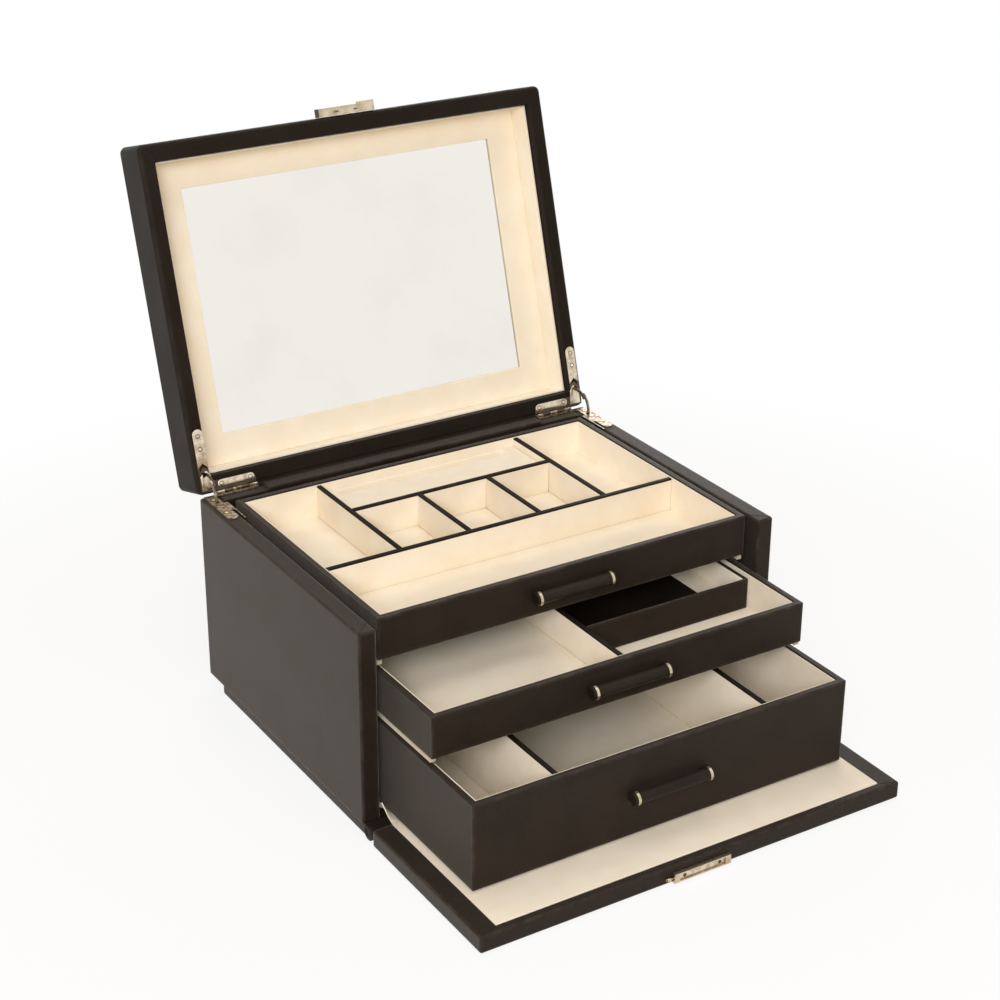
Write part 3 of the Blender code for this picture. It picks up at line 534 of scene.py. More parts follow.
@effect(
    {"Place": VECTOR, "Scale": number(20.0), "First": COLOR, "Second": COLOR},
    {"Color": COLOR, "Share": FLOAT},
)
def shade_drift(sheet: NodeSheet, given: object) -> dict:
    """Drift slowly between two shades."""
    share = sheet.spread(sheet.noise(given["Place"], given["Scale"], 4.0, 0.6), 0.32, 0.68)
    return {"Color": sheet.mix(share, given["First"], given["Second"]), "Share": share}


@effect({"Place": VECTOR, "Low": VECTOR, "High": VECTOR, "Width": number(0.002)}, {"Mask": FLOAT})
def edge_wear(sheet: NodeSheet, given: object) -> dict:
    """Show how near a place is to two faces of the board at once, in patches."""
    patches_per_metre, faintest = 90.0, 0.15
    from_low = sheet.vector("SUBTRACT", given["Place"], given["Low"])
    from_high = sheet.vector("SUBTRACT", given["High"], given["Place"])
    x, y, z = sheet.node("ShaderNodeSeparateXYZ", {0: sheet.vector("MINIMUM", from_low, from_high)}).outputs
    least = sheet.math("MINIMUM", x, sheet.math("MINIMUM", y, z))
    most = sheet.math("MAXIMUM", x, sheet.math("MAXIMUM", y, z))
    total = sheet.math("ADD", x, sheet.math("ADD", y, z))
    middle = sheet.math("SUBTRACT", sheet.math("SUBTRACT", total, least), most)
    patchy = sheet.spread(sheet.noise(given["Place"], patches_per_metre, 4.0, 0.65), 0.35, 0.75, faintest)
    mask = sheet.math("SUBTRACT", 1.0, sheet.math("DIVIDE", middle, given["Width"]), clamp=True)
    return {"Mask": sheet.math("MULTIPLY", mask, patchy)}


@effect({"Place": VECTOR, "Scale": number(260.0)}, {"Mask": FLOAT})
def dust_specks(sheet: NodeSheet, given: object) -> dict:
    """Scatter a few soft specks of dust and lint."""
    clouds_per_metre = 140.0
    cells = sheet.node("ShaderNodeTexVoronoi", {"Vector": given["Place"], "Scale": given["Scale"]})
    speck = sheet.spread(cells.outputs["Distance"], 0.02, 0.10, 1.0, 0.0)
    chance = sheet.spread(sheet.noise(given["Place"], clouds_per_metre, 2.0), 0.56, 0.72)
    return {"Mask": sheet.math("MULTIPLY", speck, chance)}


@dataclass(frozen=True)
class Board:
    """A covered board, for the wear along its edges.

    Attributes:
        low: Its lowest corner, in its own frame.
        high: Its highest corner.
        on_lid: Whether these are in the closed lid's frame.
    """

    low: Triple
    high: Triple
    on_lid: bool = False

    @staticmethod
    def of_node(node: str) -> "Board":
        """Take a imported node's box."""
        low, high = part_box(node)
        return Board(tuple(low), tuple(high))

    def place(self, sheet: NodeSheet, place: Socket) -> Socket:
        """Turn a place on the piece into the board's own frame.

        Args:
            sheet: The material's sheet.
            place: The place on the piece.

        Returns:
            The place in the board's frame.
        """
        if not self.on_lid:
            return place
        back = lid_matrix().inverted()
        values = {"Vector": place, "Location": back.to_translation(), "Rotation": back.to_euler()}
        return sheet.node("ShaderNodeMapping", values, vector_type="POINT").outputs[0]


def new_material(name: str) -> tuple[bpy.types.Material, NodeSheet, bpy.types.Node]:
    """Start a material.

    Args:
        name: Its name.

    Returns:
        The material, its sheet and its Principled shader.
    """
    material = bpy.data.materials.new(name)
    material.use_nodes = True
    return material, NodeSheet(material.node_tree), material.node_tree.nodes["Principled BSDF"]


@dataclass(frozen=True)
class Finish:
    """A finish with a material of its own.

    Attributes:
        name: The material's name.
        slot: The record's slot that it belongs to. It is not used.
    """

    name: str
    slot: Slot

    def material(self, label: str = "", board: Board | None = None) -> bpy.types.Material:
        """Make the material, or return the one of that label.

        Args:
            label: Tells apart the boards that it covers.
            board: The board whose edges are worn.

        Returns:
            The material.
        """
        name = f"{self.name}_{label}" if label else self.name
        known = bpy.data.materials.get(name)
        if known is not None:
            return known
        material, sheet, shader = new_material(name)
        for key, value in self.paint(sheet, board).items():
            sheet.give(shader.inputs[key], value)
        return material

    def paint(self, sheet: NodeSheet, board: Board | None) -> dict:
        """Draw the finish, and give the Principled shader's inputs by name."""
        raise NotImplementedError


@dataclass(frozen=True)
class Leather(Finish):
    """Covering leather or leather paper: pebbled, satin, a little worn along the edges."""

    color: Triple
    lifted: Triple
    worn: Triple
    roughness: float
    specular: float
    pebbles: float
    depth: float
    wear: float = 0.0
    wear_width: float = 0.0022
    sheen: float = 0.0
    sheen_tint: Triple = (1.0, 0.93, 0.86)
    unevenness: float = 0.08
    crease_shade: float = 0.35
    bump: float = 0.55
    drift_scale: float = 26.0
    dust_scale: float = 300.0
    dust_share: float = 0.10
    dust_color: Triple = (0.5, 0.48, 0.45)

    def paint(self, sheet: NodeSheet, board: Board | None) -> dict:
        """Draw the leather.

        Args:
            sheet: The material's sheet.
            board: The board whose edges are worn.

        Returns:
            The Principled shader's inputs by name.
        """
        place = sheet.place()
        grain = sheet.group(leather_grain, Place=place, Scale=self.pebbles)
        shades = {"First": (*self.color, 1), "Second": (*self.lifted, 1)}
        drift = sheet.group(shade_drift, Place=place, Scale=self.drift_scale, **shades)
        dust = sheet.group(dust_specks, Place=place, Scale=self.dust_scale)["Mask"]
        creases = sheet.math("MULTIPLY", grain["Crease"], self.crease_shade)
        color = sheet.mix(creases, drift["Color"], (0, 0, 0))
        color = sheet.mix(sheet.math("MULTIPLY", dust, self.dust_share), color, self.dust_color)
        smoothest = self.roughness - self.unevenness / 2
        rough = sheet.math("MULTIPLY_ADD", drift["Share"], self.unevenness, smoothest)
        if board is not None:
            ends = {"Low": board.low, "High": board.high, "Width": self.wear_width}
            mask = sheet.group(edge_wear, Place=board.place(sheet, place), **ends)["Mask"]
            color = sheet.mix(sheet.math("MULTIPLY", mask, self.wear), color, self.worn)
            rough = sheet.math("SUBTRACT", rough, sheet.math("MULTIPLY", mask, self.unevenness))
        return {
            "Base Color": color, "Roughness": rough,
            "Normal": sheet.bump(self.bump, self.depth, grain["Height"]),
            "Specular IOR Level": self.specular, "Sheen Weight": self.sheen, "Sheen Roughness": 0.35,
            "Sheen Tint": (*self.sheen_tint, 1.0),
        }


@dataclass(frozen=True)
class Suede(Finish):
    """Cream suede cloth: matt, with a short brushed pile."""

    color: Triple
    brushed: Triple
    fibres: float
    depth: float
    bump: float = 0.6
    shade_range: Pair = (0.36, 0.64)
    roughness: float = 0.86
    unevenness: float = 0.1
    sheen: float = 0.12
    specular: float = 0.15

    def paint(self, sheet: NodeSheet, board: Board | None) -> dict:
        """Draw the suede.

        Args:
            sheet: The material's sheet.
            board: Not used, because the suede isn't worn.

        Returns:
            The Principled shader's inputs by name.
        """
        nap = sheet.group(suede_nap, Place=sheet.place(), Fibres=self.fibres)
        color = sheet.mix(sheet.spread(nap["Shade"], *self.shade_range), self.color, self.brushed)
        return {
            "Base Color": color,
            "Roughness": sheet.math("MULTIPLY_ADD", nap["Shade"], self.unevenness, self.roughness),
            "Normal": sheet.bump(self.bump, self.depth, nap["Height"]),
            "Sheen Weight": self.sheen, "Sheen Roughness": 0.5, "Specular IOR Level": self.specular,
        }


@dataclass(frozen=True)
class Metal(Finish):
    """Plated metal: polished, with faint brush lines, smudges and soft patches of a deeper, warmer tone."""

    color: Triple
    deep: Triple
    roughness: float
    brushed: Triple
    patches: float = 160.0
    brush_share: float = 0.12
    brush_middle: float = 0.05
    brush_bump: float = 0.12
    brush_depth: float = 0.00004
    patch_share: float = 0.07

    def paint(self, sheet: NodeSheet, board: Board | None) -> dict:
        """Draw the metal.

        Args:
            sheet: The material's sheet.
            board: Not used, because metal isn't worn.

        Returns:
            The Principled shader's inputs by name.
        """
        place = sheet.place()
        lines = sheet.node("ShaderNodeMapping", {"Vector": place, "Scale": self.brushed}).outputs[0]
        brush = sheet.noise(lines, 1.0, 3.0, 0.6)
        shades = {"First": (*self.color, 1), "Second": (*self.deep, 1)}
        drift = sheet.group(shade_drift, Place=place, Scale=self.patches, **shades)
        rough = sheet.math("MULTIPLY_ADD", brush, self.brush_share, self.roughness - self.brush_middle)
        rough = sheet.math("MULTIPLY_ADD", drift["Share"], self.patch_share, rough)
        bump = sheet.bump(self.brush_bump, self.brush_depth, brush)
        return {"Base Color": drift["Color"], "Roughness": rough, "Normal": bump, "Metallic": 1.0}


@dataclass(frozen=True)
class SilveredGlass(Finish):
    """A plain mirror with the faintest haze."""

    color: Triple
    roughness: float
    haze_scale: float = 18.0
    haze_range: Pair = (0.4, 0.8)
    haze_shade: float = 0.95
    haze_share: float = 0.02
    dust_scale: float = 180.0
    dust_share: float = 0.15

    def paint(self, sheet: NodeSheet, board: Board | None) -> dict:
        """Draw the mirror.

        Args:
            sheet: The material's sheet.
            board: Not used, because glass isn't worn.

        Returns:
            The Principled shader's inputs by name.
        """
        place = sheet.place()
        haze = sheet.spread(sheet.noise(place, self.haze_scale, 4.0), *self.haze_range)
        dust = sheet.group(dust_specks, Place=place, Scale=self.dust_scale)["Mask"]
        rough = sheet.math("MULTIPLY_ADD", haze, self.haze_share, self.roughness)
        rough = sheet.math("MULTIPLY_ADD", dust, self.dust_share, rough)
        shade = tuple(part * self.haze_shade for part in self.color)
        return {"Base Color": sheet.mix(haze, self.color, shade), "Roughness": rough, "Metallic": 1.0}


COVER = Leather(
    "cover_leather", Slot.LEATHER, color=(0.019, 0.0120, 0.0075), lifted=(0.027, 0.0178, 0.0118),
    worn=(0.13, 0.105, 0.085), roughness=0.50, specular=0.10, pebbles=1500.0, depth=0.00006, wear=0.4,
    sheen=0.42,
)
# The lid is covered in the case's leather. This darker, less glossy copy of it is painted shade, so that the
# lid's sides read dark.
SHADED_LID_COVER = Leather(
    "lid_leather", Slot.LEATHER, color=(0.016, 0.0108, 0.0072), lifted=(0.021, 0.0145, 0.0100),
    worn=(0.10, 0.08, 0.065), roughness=0.46, specular=0.07, pebbles=1500.0, depth=0.00006, wear=0.4,
    sheen=0.02,
)
PAPER = Leather(
    "lining_leather", Slot.INNER_LEATHER, color=(0.014, 0.0095, 0.0065), lifted=(0.019, 0.0135, 0.0095),
    worn=(0.06, 0.05, 0.04), roughness=0.62, specular=0.10, pebbles=2400.0, depth=0.00003,
)
WRAP = Leather(
    "wrap_leather", Slot.LEATHER, color=(0.018, 0.0120, 0.0080), lifted=(0.026, 0.0180, 0.0125),
    worn=(0.10, 0.08, 0.07), roughness=0.44, specular=0.13, pebbles=2000.0, depth=0.00004,
)
SUEDE = Suede(
    "cream_suede", Slot.SUEDE, color=(0.90, 0.80, 0.645), brushed=(0.93, 0.845, 0.705), fibres=2600.0,
    depth=0.00010,
)
# This felt also dresses the strip of painted shade at the mirror's right edge.
FELT = Suede(
    "pale_felt", Slot.FELT, color=(0.58, 0.51, 0.41), brushed=(0.66, 0.59, 0.49), fibres=1500.0,
    depth=0.00020,
)
GOLD = Metal(
    "champagne_gold", Slot.GOLD, color=(0.68, 0.59, 0.44), deep=(0.46, 0.37, 0.24), roughness=0.24,
    brushed=(180.0, 2600.0, 2600.0),
)
HINGE_GOLD = Metal(
    "hinge_gold", Slot.STEEL, color=(0.78, 0.68, 0.54), deep=(0.50, 0.40, 0.28), roughness=0.18,
    brushed=(2200.0, 240.0, 2200.0), patches=260.0,
)
LEAF_GOLD = Metal(
    "leaf_gold", Slot.STEEL, color=(0.50, 0.42, 0.31), deep=(0.10, 0.065, 0.04), roughness=0.30,
    brushed=(2200.0, 900.0, 2200.0), patches=420.0,
)
DARK_METAL = Metal(
    "bronzed_steel", Slot.STEEL, color=(0.12, 0.09, 0.06), deep=(0.07, 0.05, 0.035), roughness=0.34,
    brushed=(1500.0, 1500.0, 1500.0),
)
MIRROR = SilveredGlass("silvered_glass", Slot.MIRROR, color=(0.87, 0.85, 0.785), roughness=0.02)


def hand_over(
    piece: Piece, body: Body, finish: Finish, replaces: Sequence[str] = (),
) -> None:
    """Shade and dress a finished piece, and let it ride on its body.

    Args:
        piece: The finished piece, in the model's place.
        body: The body that carries it.
        finish: Its finish.
        replaces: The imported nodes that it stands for.
    """
    smooth(piece)
    piece.data.materials.clear()
    piece.data.materials.append(finish.material())
    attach(piece, body.value)
    if replaces:
        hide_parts(*replaces)
    log.info("made %s on %s", piece.name, body.value)


def dress(node: str, finish: Finish, board: Board | None = None) -> None:
    """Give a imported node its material.

    Args:
        node: The node's name.
        finish: Its finish.
        board: The board whose edges are worn, if any are.
    """
    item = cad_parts[node]
    item.data.materials.clear()
    item.data.materials.append(finish.material(node, board) if board else finish.material())
    log.info("dressed %s", node)


# Shared forms


def cut_lines(piece: Piece, across: Pair, deep: Pair, test: Test | None = None) -> None:
    """Cut new edges into a piece's faces, at two places along X and at two along Y.

    Args:
        piece: The piece.
        across: The places along X.
        deep: The places along Y.
        test: Picks the faces that are cut, where it isn't all of them.
    """
    cuts = [((x, 0, 0), (1, 0, 0)) for x in across] + [((0, y, 0), (0, 1, 0)) for y in deep]
    for point, normal in cuts:
        with editing(piece, everything=test is None):
            if test is not None:
                pick_faces(test)
            bpy.ops.mesh.bisect(plane_co=point, plane_no=normal)


def open_tray(name: str, low: Point, high: Point, wall: float, floor: float, corner: float) -> Piece:
    """Model a lining: four upright walls round a floor, soft in its corners.

    Args:
        name: The piece's name.
        low: Its lowest corner.
        high: Its highest corner.
        wall: The thickness of its walls.
        floor: The thickness of its floor.
        corner: The rounding of its inner corners.

    Returns:
        The tray.
    """
    low, high = Vector(low), Vector(high)
    piece = start_block(name, low, high)
    with editing(piece):
        pick_faces(facing(z=1))
        bpy.ops.mesh.inset(thickness=wall, depth=0)
        extrude_by((0, 0, low.z + floor - high.z))

    def inside(middle: Vector, way: Vector) -> bool:
        """Tell the edges of the hollow below its rim."""
        near = low.x + wall - NEAR < middle.x < high.x - wall + NEAR
        deep = low.y + wall - NEAR < middle.y < high.y - wall + NEAR
        return near and deep and (abs(way.z) > STRAIGHT or abs(middle.z - low.z - floor) < NEAR)

    with editing(piece, "EDGE"):
        pick_edges(inside)
        bpy.ops.mesh.bevel(offset=corner, segments=3, affect="EDGES")
    return round_edges(piece, wall * 0.3, 2, 60.0)


def soft_board(name: str, low: Point, high: Point, edge: float, crown: float) -> Piece:
    """Model a covered card: flat below, rounded at its edges and a little fuller in its middle.

    Args:
        name: The piece's name.
        low: Its lowest corner.
        high: Its highest corner.
        edge: The rounding of its edges.
        crown: How much its middle stands up.

    Returns:
        The board.
    """
    low, high = Vector(low), Vector(high)
    piece = start_block(name, low, high)
    with editing(piece):
        pick_faces(along_axis(2))
        bpy.ops.mesh.subdivide(number_cuts=7)
    middle, half = (low + high) / 2, (high - low) / 2
    for vert in piece.data.vertices:
        if vert.co.z > middle.z:
            across = 1.0 - ((vert.co.x - middle.x) / half.x) ** 4
            deep = 1.0 - ((vert.co.y - middle.y) / half.y) ** 4
            vert.co.z += crown * across * deep
    return round_edges(piece, edge, 3, 50.0)


def arc(center: Pair, radius: float, start: float, end: float, steps: int = 8) -> list[Pair]:
    """List points along an arc.

    Args:
        center: Its middle.
        radius: Its radius.
        start: The angle that it starts at, in degrees.
        end: The angle that it ends at.
        steps: How many steps it has.

    Returns:
        The points.
    """
    turns = (radians(start + (end - start) * step / steps) for step in range(steps + 1))
    return [(center[0] + radius * cos(turn), center[1] + radius * sin(turn)) for turn in turns]


@dataclass
class Seam:
    """The low ridges where two turned edges of leather meet, one at each corner.

    Attributes:
        name: Their name, before the side's.
        body: The body that carries them.
        outer: Where the right one starts.
        inner: Where it ends.
        width: Their width.
        height: How far they stand proud.
        up: The sign of the way out of the leather, along Z.
        put: What moves them to the model's place.
    """

    name: str
    body: Body
    outer: Triple
    inner: Triple
    width: float
    height: float
    up: int = 1
    put: Callable[[Piece], Piece] = place_on_case
    cuts: int = 12
    top_share: float = 0.5
    round_share: float = 0.3

    def sew(self) -> None:
        """Model both ridges."""
        for side in Side:
            start, end = (Vector((side.value * x, y, z)) for x, y, z in (self.outer, self.inner))
            hand_over(self.put(self.model(f"{self.name}_{side.word}", start, end)), self.body, WRAP)

    def model(self, name: str, start: Vector, end: Vector) -> Piece:
        """Model one ridge, a little wavy.

        Args:
            name: The piece's name.
            start: Where it starts on the leather.
            end: Where it ends.

        Returns:
            The ridge.
        """
        up, along = Vector((0, 0, self.up)), (end - start).normalized()
        high = ((end - start).length, self.width / 2, self.height)
        ridge = start_block(name, (0, -self.width / 2, -self.height), high)
        with editing(ridge, "EDGE"):
            pick_edges(along_axis(0))
            bpy.ops.mesh.subdivide(number_cuts=self.cuts)
        for vert in ridge.data.vertices:
            wave = sin(vert.co.x * 900.0) * 0.12 + sin(vert.co.x * 2300.0 + 1.0) * 0.08
            vert.co.y += self.width * wave
            if vert.co.z > 0:
                vert.co.z *= 1.0 + wave
                vert.co.y *= self.top_share
        round_edges(ridge, min(self.width, self.height) * self.round_share, 2, 30.0)
        turn = Matrix((along, up.cross(along), up)).transposed().to_4x4()
        ridge.data.transform(Matrix.Translation(start) @ turn)
        return ridge


@dataclass(frozen=True)
class Screw:
    """A small domed screw with a cross in its head.

    Attributes:
        radius: The head's radius.
        height: How far the head stands up.
        slot: The width of the cross.
        dome: The dome's steps, each as shares of the radius and the height.
    """

    radius: float
    height: float
    slot: float = 0.0003
    rim_share: float = 0.4
    dome: tuple[Pair, ...] = ((0.22, 0.38), (0.25, 0.16), (0.25, 0.06))
    cross_share: float = 0.62
    cross_level_share: float = 0.45
    cross_turn: float = 20.0

    def model(self, name: str) -> Piece:
        """Model the screw's head at the origin, facing up.

        Args:
            name: The piece's name.

        Returns:
            The head.
        """
        head = start_rod(name, (0, 0, -self.height), (0, 0, self.height * self.rim_share), self.radius, 20)
        with editing(head):
            pick_faces(facing(z=1))
            for share, rise in self.dome:
                bpy.ops.mesh.inset(thickness=self.radius * share, depth=self.height * rise)
        reach, half = self.radius * self.cross_share, self.slot / 2
        low = (-reach, -half, self.height * self.cross_level_share)
        for turn in (0.0, 90.0):
            bar = start_block("screw_cross", low, (reach, half, self.height * 2))
            bar.data.transform(Matrix.Rotation(radians(turn + self.cross_turn), 4, "Z"))
            cut_away(head, bar)
        return head


@dataclass
class ScrewRow:
    """Screws of one kind on one body.

    Attributes:
        screw: The screw.
        body: The body that carries them.
        finish: Their finish.
        ring: The finish of a dark disc round each head, painted shade for the gap of its countersink, if
            there is one.
    """

    screw: Screw
    body: Body
    finish: Metal
    ring: Metal | None = None
    ring_share: float = 1.35
    ring_rise: float = 0.00006

    def drive(self, name: str, place: Point, up: Point, turn: float) -> None:
        """Set one screw.

        Args:
            name: The piece's name.
            place: The middle of where it sits, in the model's frame.
            up: The way that its head faces.
            turn: How far it is turned, in degrees.
        """
        face = Vector(up).to_track_quat("Z", "Y").to_matrix().to_4x4()
        move = Matrix.Translation(place) @ face @ Matrix.Rotation(radians(turn), 4, "Z")
        head = self.screw.model(name)
        head.data.transform(move)
        hand_over(head, self.body, self.finish)
        # A thin dark disc round the head is painted shade for the countersink's gap.
        if self.ring is not None:
            radius = self.screw.radius * self.ring_share
            shade_disc = start_rod(f"{name}_seat", (0, 0, -NEAR), (0, 0, self.ring_rise), radius, 24)
            shade_disc.data.transform(move)
            hand_over(shade_disc, self.body, self.ring)


# The box's pieces


@dataclass
class Case:
    """The covered case, with its shelves, the seams of its corners and the ledge under the lid's edge."""

    half_width: float = 0.150
    wall: float = 0.0117
    top: float = 0.1365
    seam_inset: float = 0.0012
    ledge_low: Triple = (-0.1080, -0.0034, -0.0040)
    ledge_high: Triple = (0.1080, 0.0012, 0.0011)
    ledge_round: float = 0.0004

    def build(self) -> None:
        """Dress the boards, sew the corners and model the ledge."""
        for node in ("side_wall_left", "side_wall_right", "back_wall", "base_plate"):
            dress(node, COVER, Board.of_node(node))
        for node in ("case_floor", "shelf_lower", "shelf_upper"):
            dress(node, PAPER)
        outer = (self.half_width - self.seam_inset, self.seam_inset, self.top)
        inner = (self.half_width - self.wall + self.seam_inset, self.wall - self.seam_inset, self.top)
        Seam("case_seam", Body.CASE, outer, inner, width=0.0007, height=0.00022).sew()
        low, high = LID_AXIS + Vector(self.ledge_low), LID_AXIS + Vector(self.ledge_high)
        hand_over(round_edges(start_block("back_ledge", low, high), self.ledge_round), Body.CASE, WRAP)


@dataclass
class SoftHinge:
    """The door's soft hinge: a leather roll and a suede strip over it."""

    half_length: float = 0.1498
    axis_y: float = -0.0055
    axis_z: float = 0.0063
    radius: float = 0.0058
    fold_shares: tuple[Pair, ...] = ((0.35, 0.0006), (0.25, -0.0008))
    wrinkle: float = 0.012
    back_limit: float = 0.0051
    cloth_half: float = 0.1366
    cloth_front: float = -0.0126
    cloth_back: float = 0.0135
    cloth_level: float = 0.0108
    cloth_thickness: float = 0.0006
    cloth_gap: float = 0.0009
    ripple: float = 0.00012
    sag: float = 0.0004
    sag_reach: float = 0.005
    sag_shift: float = 0.001
    curl_height: float = 0.0085
    curl_length: float = 0.0050
    curl_back: float = 0.0012
    curl_spans: Pair = (0.0125, 0.0070)
    curl_power: float = 1.3
    bend: Pair = (0.003, -0.004)

    def build(self) -> None:
        """Model the roll and the strip."""
        self.build_roll()
        self.build_cloth()

    def build_roll(self) -> None:
        """Model the leather-wrapped roll with its folded ends."""
        ends = ((sign * self.half_length, self.axis_y, self.axis_z) for sign in (-1, 1))
        roll = start_rod("hinge_roll", *ends, self.radius, 28)
        with editing(roll):
            pick_faces(along_axis(0))
            for share, depth in self.fold_shares:
                bpy.ops.mesh.inset(thickness=self.radius * share, depth=depth)
        with editing(roll, "EDGE"):
            pick_edges(along_axis(0))
            bpy.ops.mesh.subdivide(number_cuts=60)
        top, back = self.cloth_level - self.cloth_gap, self.axis_y + self.back_limit
        for vert in roll.data.vertices:
            wave = 1.0 - self.wrinkle * (1.0 + sin(vert.co.x * 310.0 + vert.co.z * 500.0))
            vert.co.y = min(self.axis_y + (vert.co.y - self.axis_y) * wave, back)
            vert.co.z = min(self.axis_z + (vert.co.z - self.axis_z) * wave, top)
        hand_over(place_on_case(roll), Body.CASE, WRAP, ["door_hinge_spine"])

    def build_cloth(self) -> None:
        """Model the suede strip from the case's floor to the door's lining, curled up at its ends."""
        deselect()
        length = self.cloth_back - self.cloth_front
        middle = (self.cloth_front + self.cloth_back) / 2
        bpy.ops.mesh.primitive_grid_add(
            x_subdivisions=180, y_subdivisions=18, size=1, location=(0, middle, 0),
        )
        cloth = named("hinge_cloth")
        for vert in cloth.data.vertices:
            y = middle + (vert.co.y - middle) * length
            vert.co = self.cloth_point(vert.co.x * 2 * self.cloth_half, y)
        apply_modifier(cloth, "SOLIDIFY", thickness=self.cloth_thickness, offset=-1.0)
        smooth(place_on_case(cloth))
        cloth.data.materials.append(SUEDE.material())
        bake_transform(cloth)
        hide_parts("door_hinge_cloth")
        log.info("made hinge_cloth between case and door")

    def cloth_point(self, x: float, y: float) -> Triple:
        """Give where a point of the flat strip lies.

        Args:
            x: Its place along the strip.
            y: Its place across it.

        Returns:
            The point.
        """
        level = self.cloth_level + self.ripple * sin(x * 190.0) * sin((y - self.cloth_front) * 240.0)
        fall = max(0.0, 1.0 - abs(y - self.axis_y + self.sag_shift) / self.sag_reach)
        level -= self.sag * fall * fall
        edge = self.cloth_half - abs(x)
        if edge < self.curl_length:
            lift = (1.0 - edge / self.curl_length) ** self.curl_power
            span = self.curl_spans[0] if y < self.curl_back else self.curl_spans[1]
            level += self.curl_height * lift * max(0.0, 1.0 - abs(y - self.curl_back) / span)
        return x, y, level


@dataclass
class Door:
    """The fold-down door: its leather panel, its suede lining and its corner seams."""

    half_width: float = 0.1506
    far: float = -0.1347
    panel_top: float = 0.0115
    lining_half: float = 0.1376
    lining_far: float = -0.1293
    lining_near: float = -0.0128
    lining_low: float = 0.0108
    lining_high: float = 0.0121
    lining_round: float = 0.0006
    lining_crown: float = 0.0002
    seam_inset: float = 0.0011
    seam_over: Pair = (0.0008, 0.0006)

    def build(self) -> None:
        """Dress the panel, lay the lining and sew the corners."""
        dress("door_panel", COVER, Board.of_node("door_panel"))
        low = (-self.lining_half, self.lining_far, self.lining_low)
        high = (self.lining_half, self.lining_near, self.lining_high)
        lining = soft_board("door_suede", low, high, self.lining_round, self.lining_crown)
        hand_over(place_on_case(lining), Body.DOOR, SUEDE, ["door_lining"])
        outer = (self.half_width - self.seam_inset, self.far + self.seam_inset, self.panel_top)
        across, deep = self.seam_over
        inner = (self.lining_half + across, self.lining_far - deep, self.panel_top)
        Seam("door_seam", Body.DOOR, outer, inner, width=0.0006, height=0.0002).sew()


@dataclass
class DoorCatch:
    """The catch on the door's far edge: channel, face plate, two screws and a push button."""

    face_low: Triple = (-0.0176, -0.1369, 0.0021)
    face_high: Triple = (0.0151, -0.1357, 0.0063)
    face_round: float = 0.0002
    screw: Screw = Screw(0.0012, 0.0002)
    screw_x: Pair = (-0.0139, 0.0114)
    middle_z: float = 0.0042
    knob_x: Pair = (-0.0237, -0.0261)
    knob_radius: float = 0.0012
    knob_rim: float = 0.00015
    knob_dish: float = 0.0002
    knob_dome: Pair = (0.00035, 0.00008)
    knob_round: float = 0.00012
    stem_radius: float = 0.0005
    stem_length: float = 0.0040
    stem_y: float = -0.13635

    def build(self) -> None:
        """Dress the channel, and model its face plate, its screws and its button."""
        dress("door_catch", GOLD)
        face = start_block("door_catch_face", self.face_low, self.face_high)
        round_edges(face, self.face_round, 2)
        # The face plate is real, but it takes the brighter hinge gold rather than the channel's gold: a
        # painted highlight that lifts the channel's shade.
        hand_over(place_on_case(face), Body.DOOR, HINGE_GOLD)
        row = ScrewRow(self.screw, Body.DOOR, DARK_METAL)
        for side, x in zip(Side, self.screw_x):
            place = (x, self.face_low[1] + FRONT_Y, self.middle_z)
            row.drive(f"door_catch_screw_{side.word}", place, (0, -1, 0), 25.0 * side.value)
        self.build_button()

    def build_button(self) -> None:
        """Model the button: a ringed, domed knob on its stem."""
        ends = ((x, self.stem_y, self.middle_z) for x in self.knob_x)
        knob = start_rod("catch_knob", *ends, self.knob_radius, 28)
        with editing(knob):
            pick_faces(facing(x=-1))
            bpy.ops.mesh.inset(thickness=self.knob_rim, depth=0)
            extrude_by((self.knob_dish, 0, 0))
            bpy.ops.mesh.inset(thickness=self.knob_dome[0], depth=self.knob_dome[1])
            pick_faces(facing(x=1))
            bpy.ops.mesh.inset(thickness=self.knob_radius - self.stem_radius, depth=0)
            extrude_by((self.stem_length, 0, 0))
        round_edges(knob, self.knob_round, 2, 50.0)
        hand_over(place_on_case(knob), Body.BUTTON, GOLD, ["door_catch_button"])


@dataclass
class Bay:
    """One compartment's floor, as (x, y) corners from the drawer's front edge."""

    low: Pair
    high: Pair
    thickness: float = 0.0007


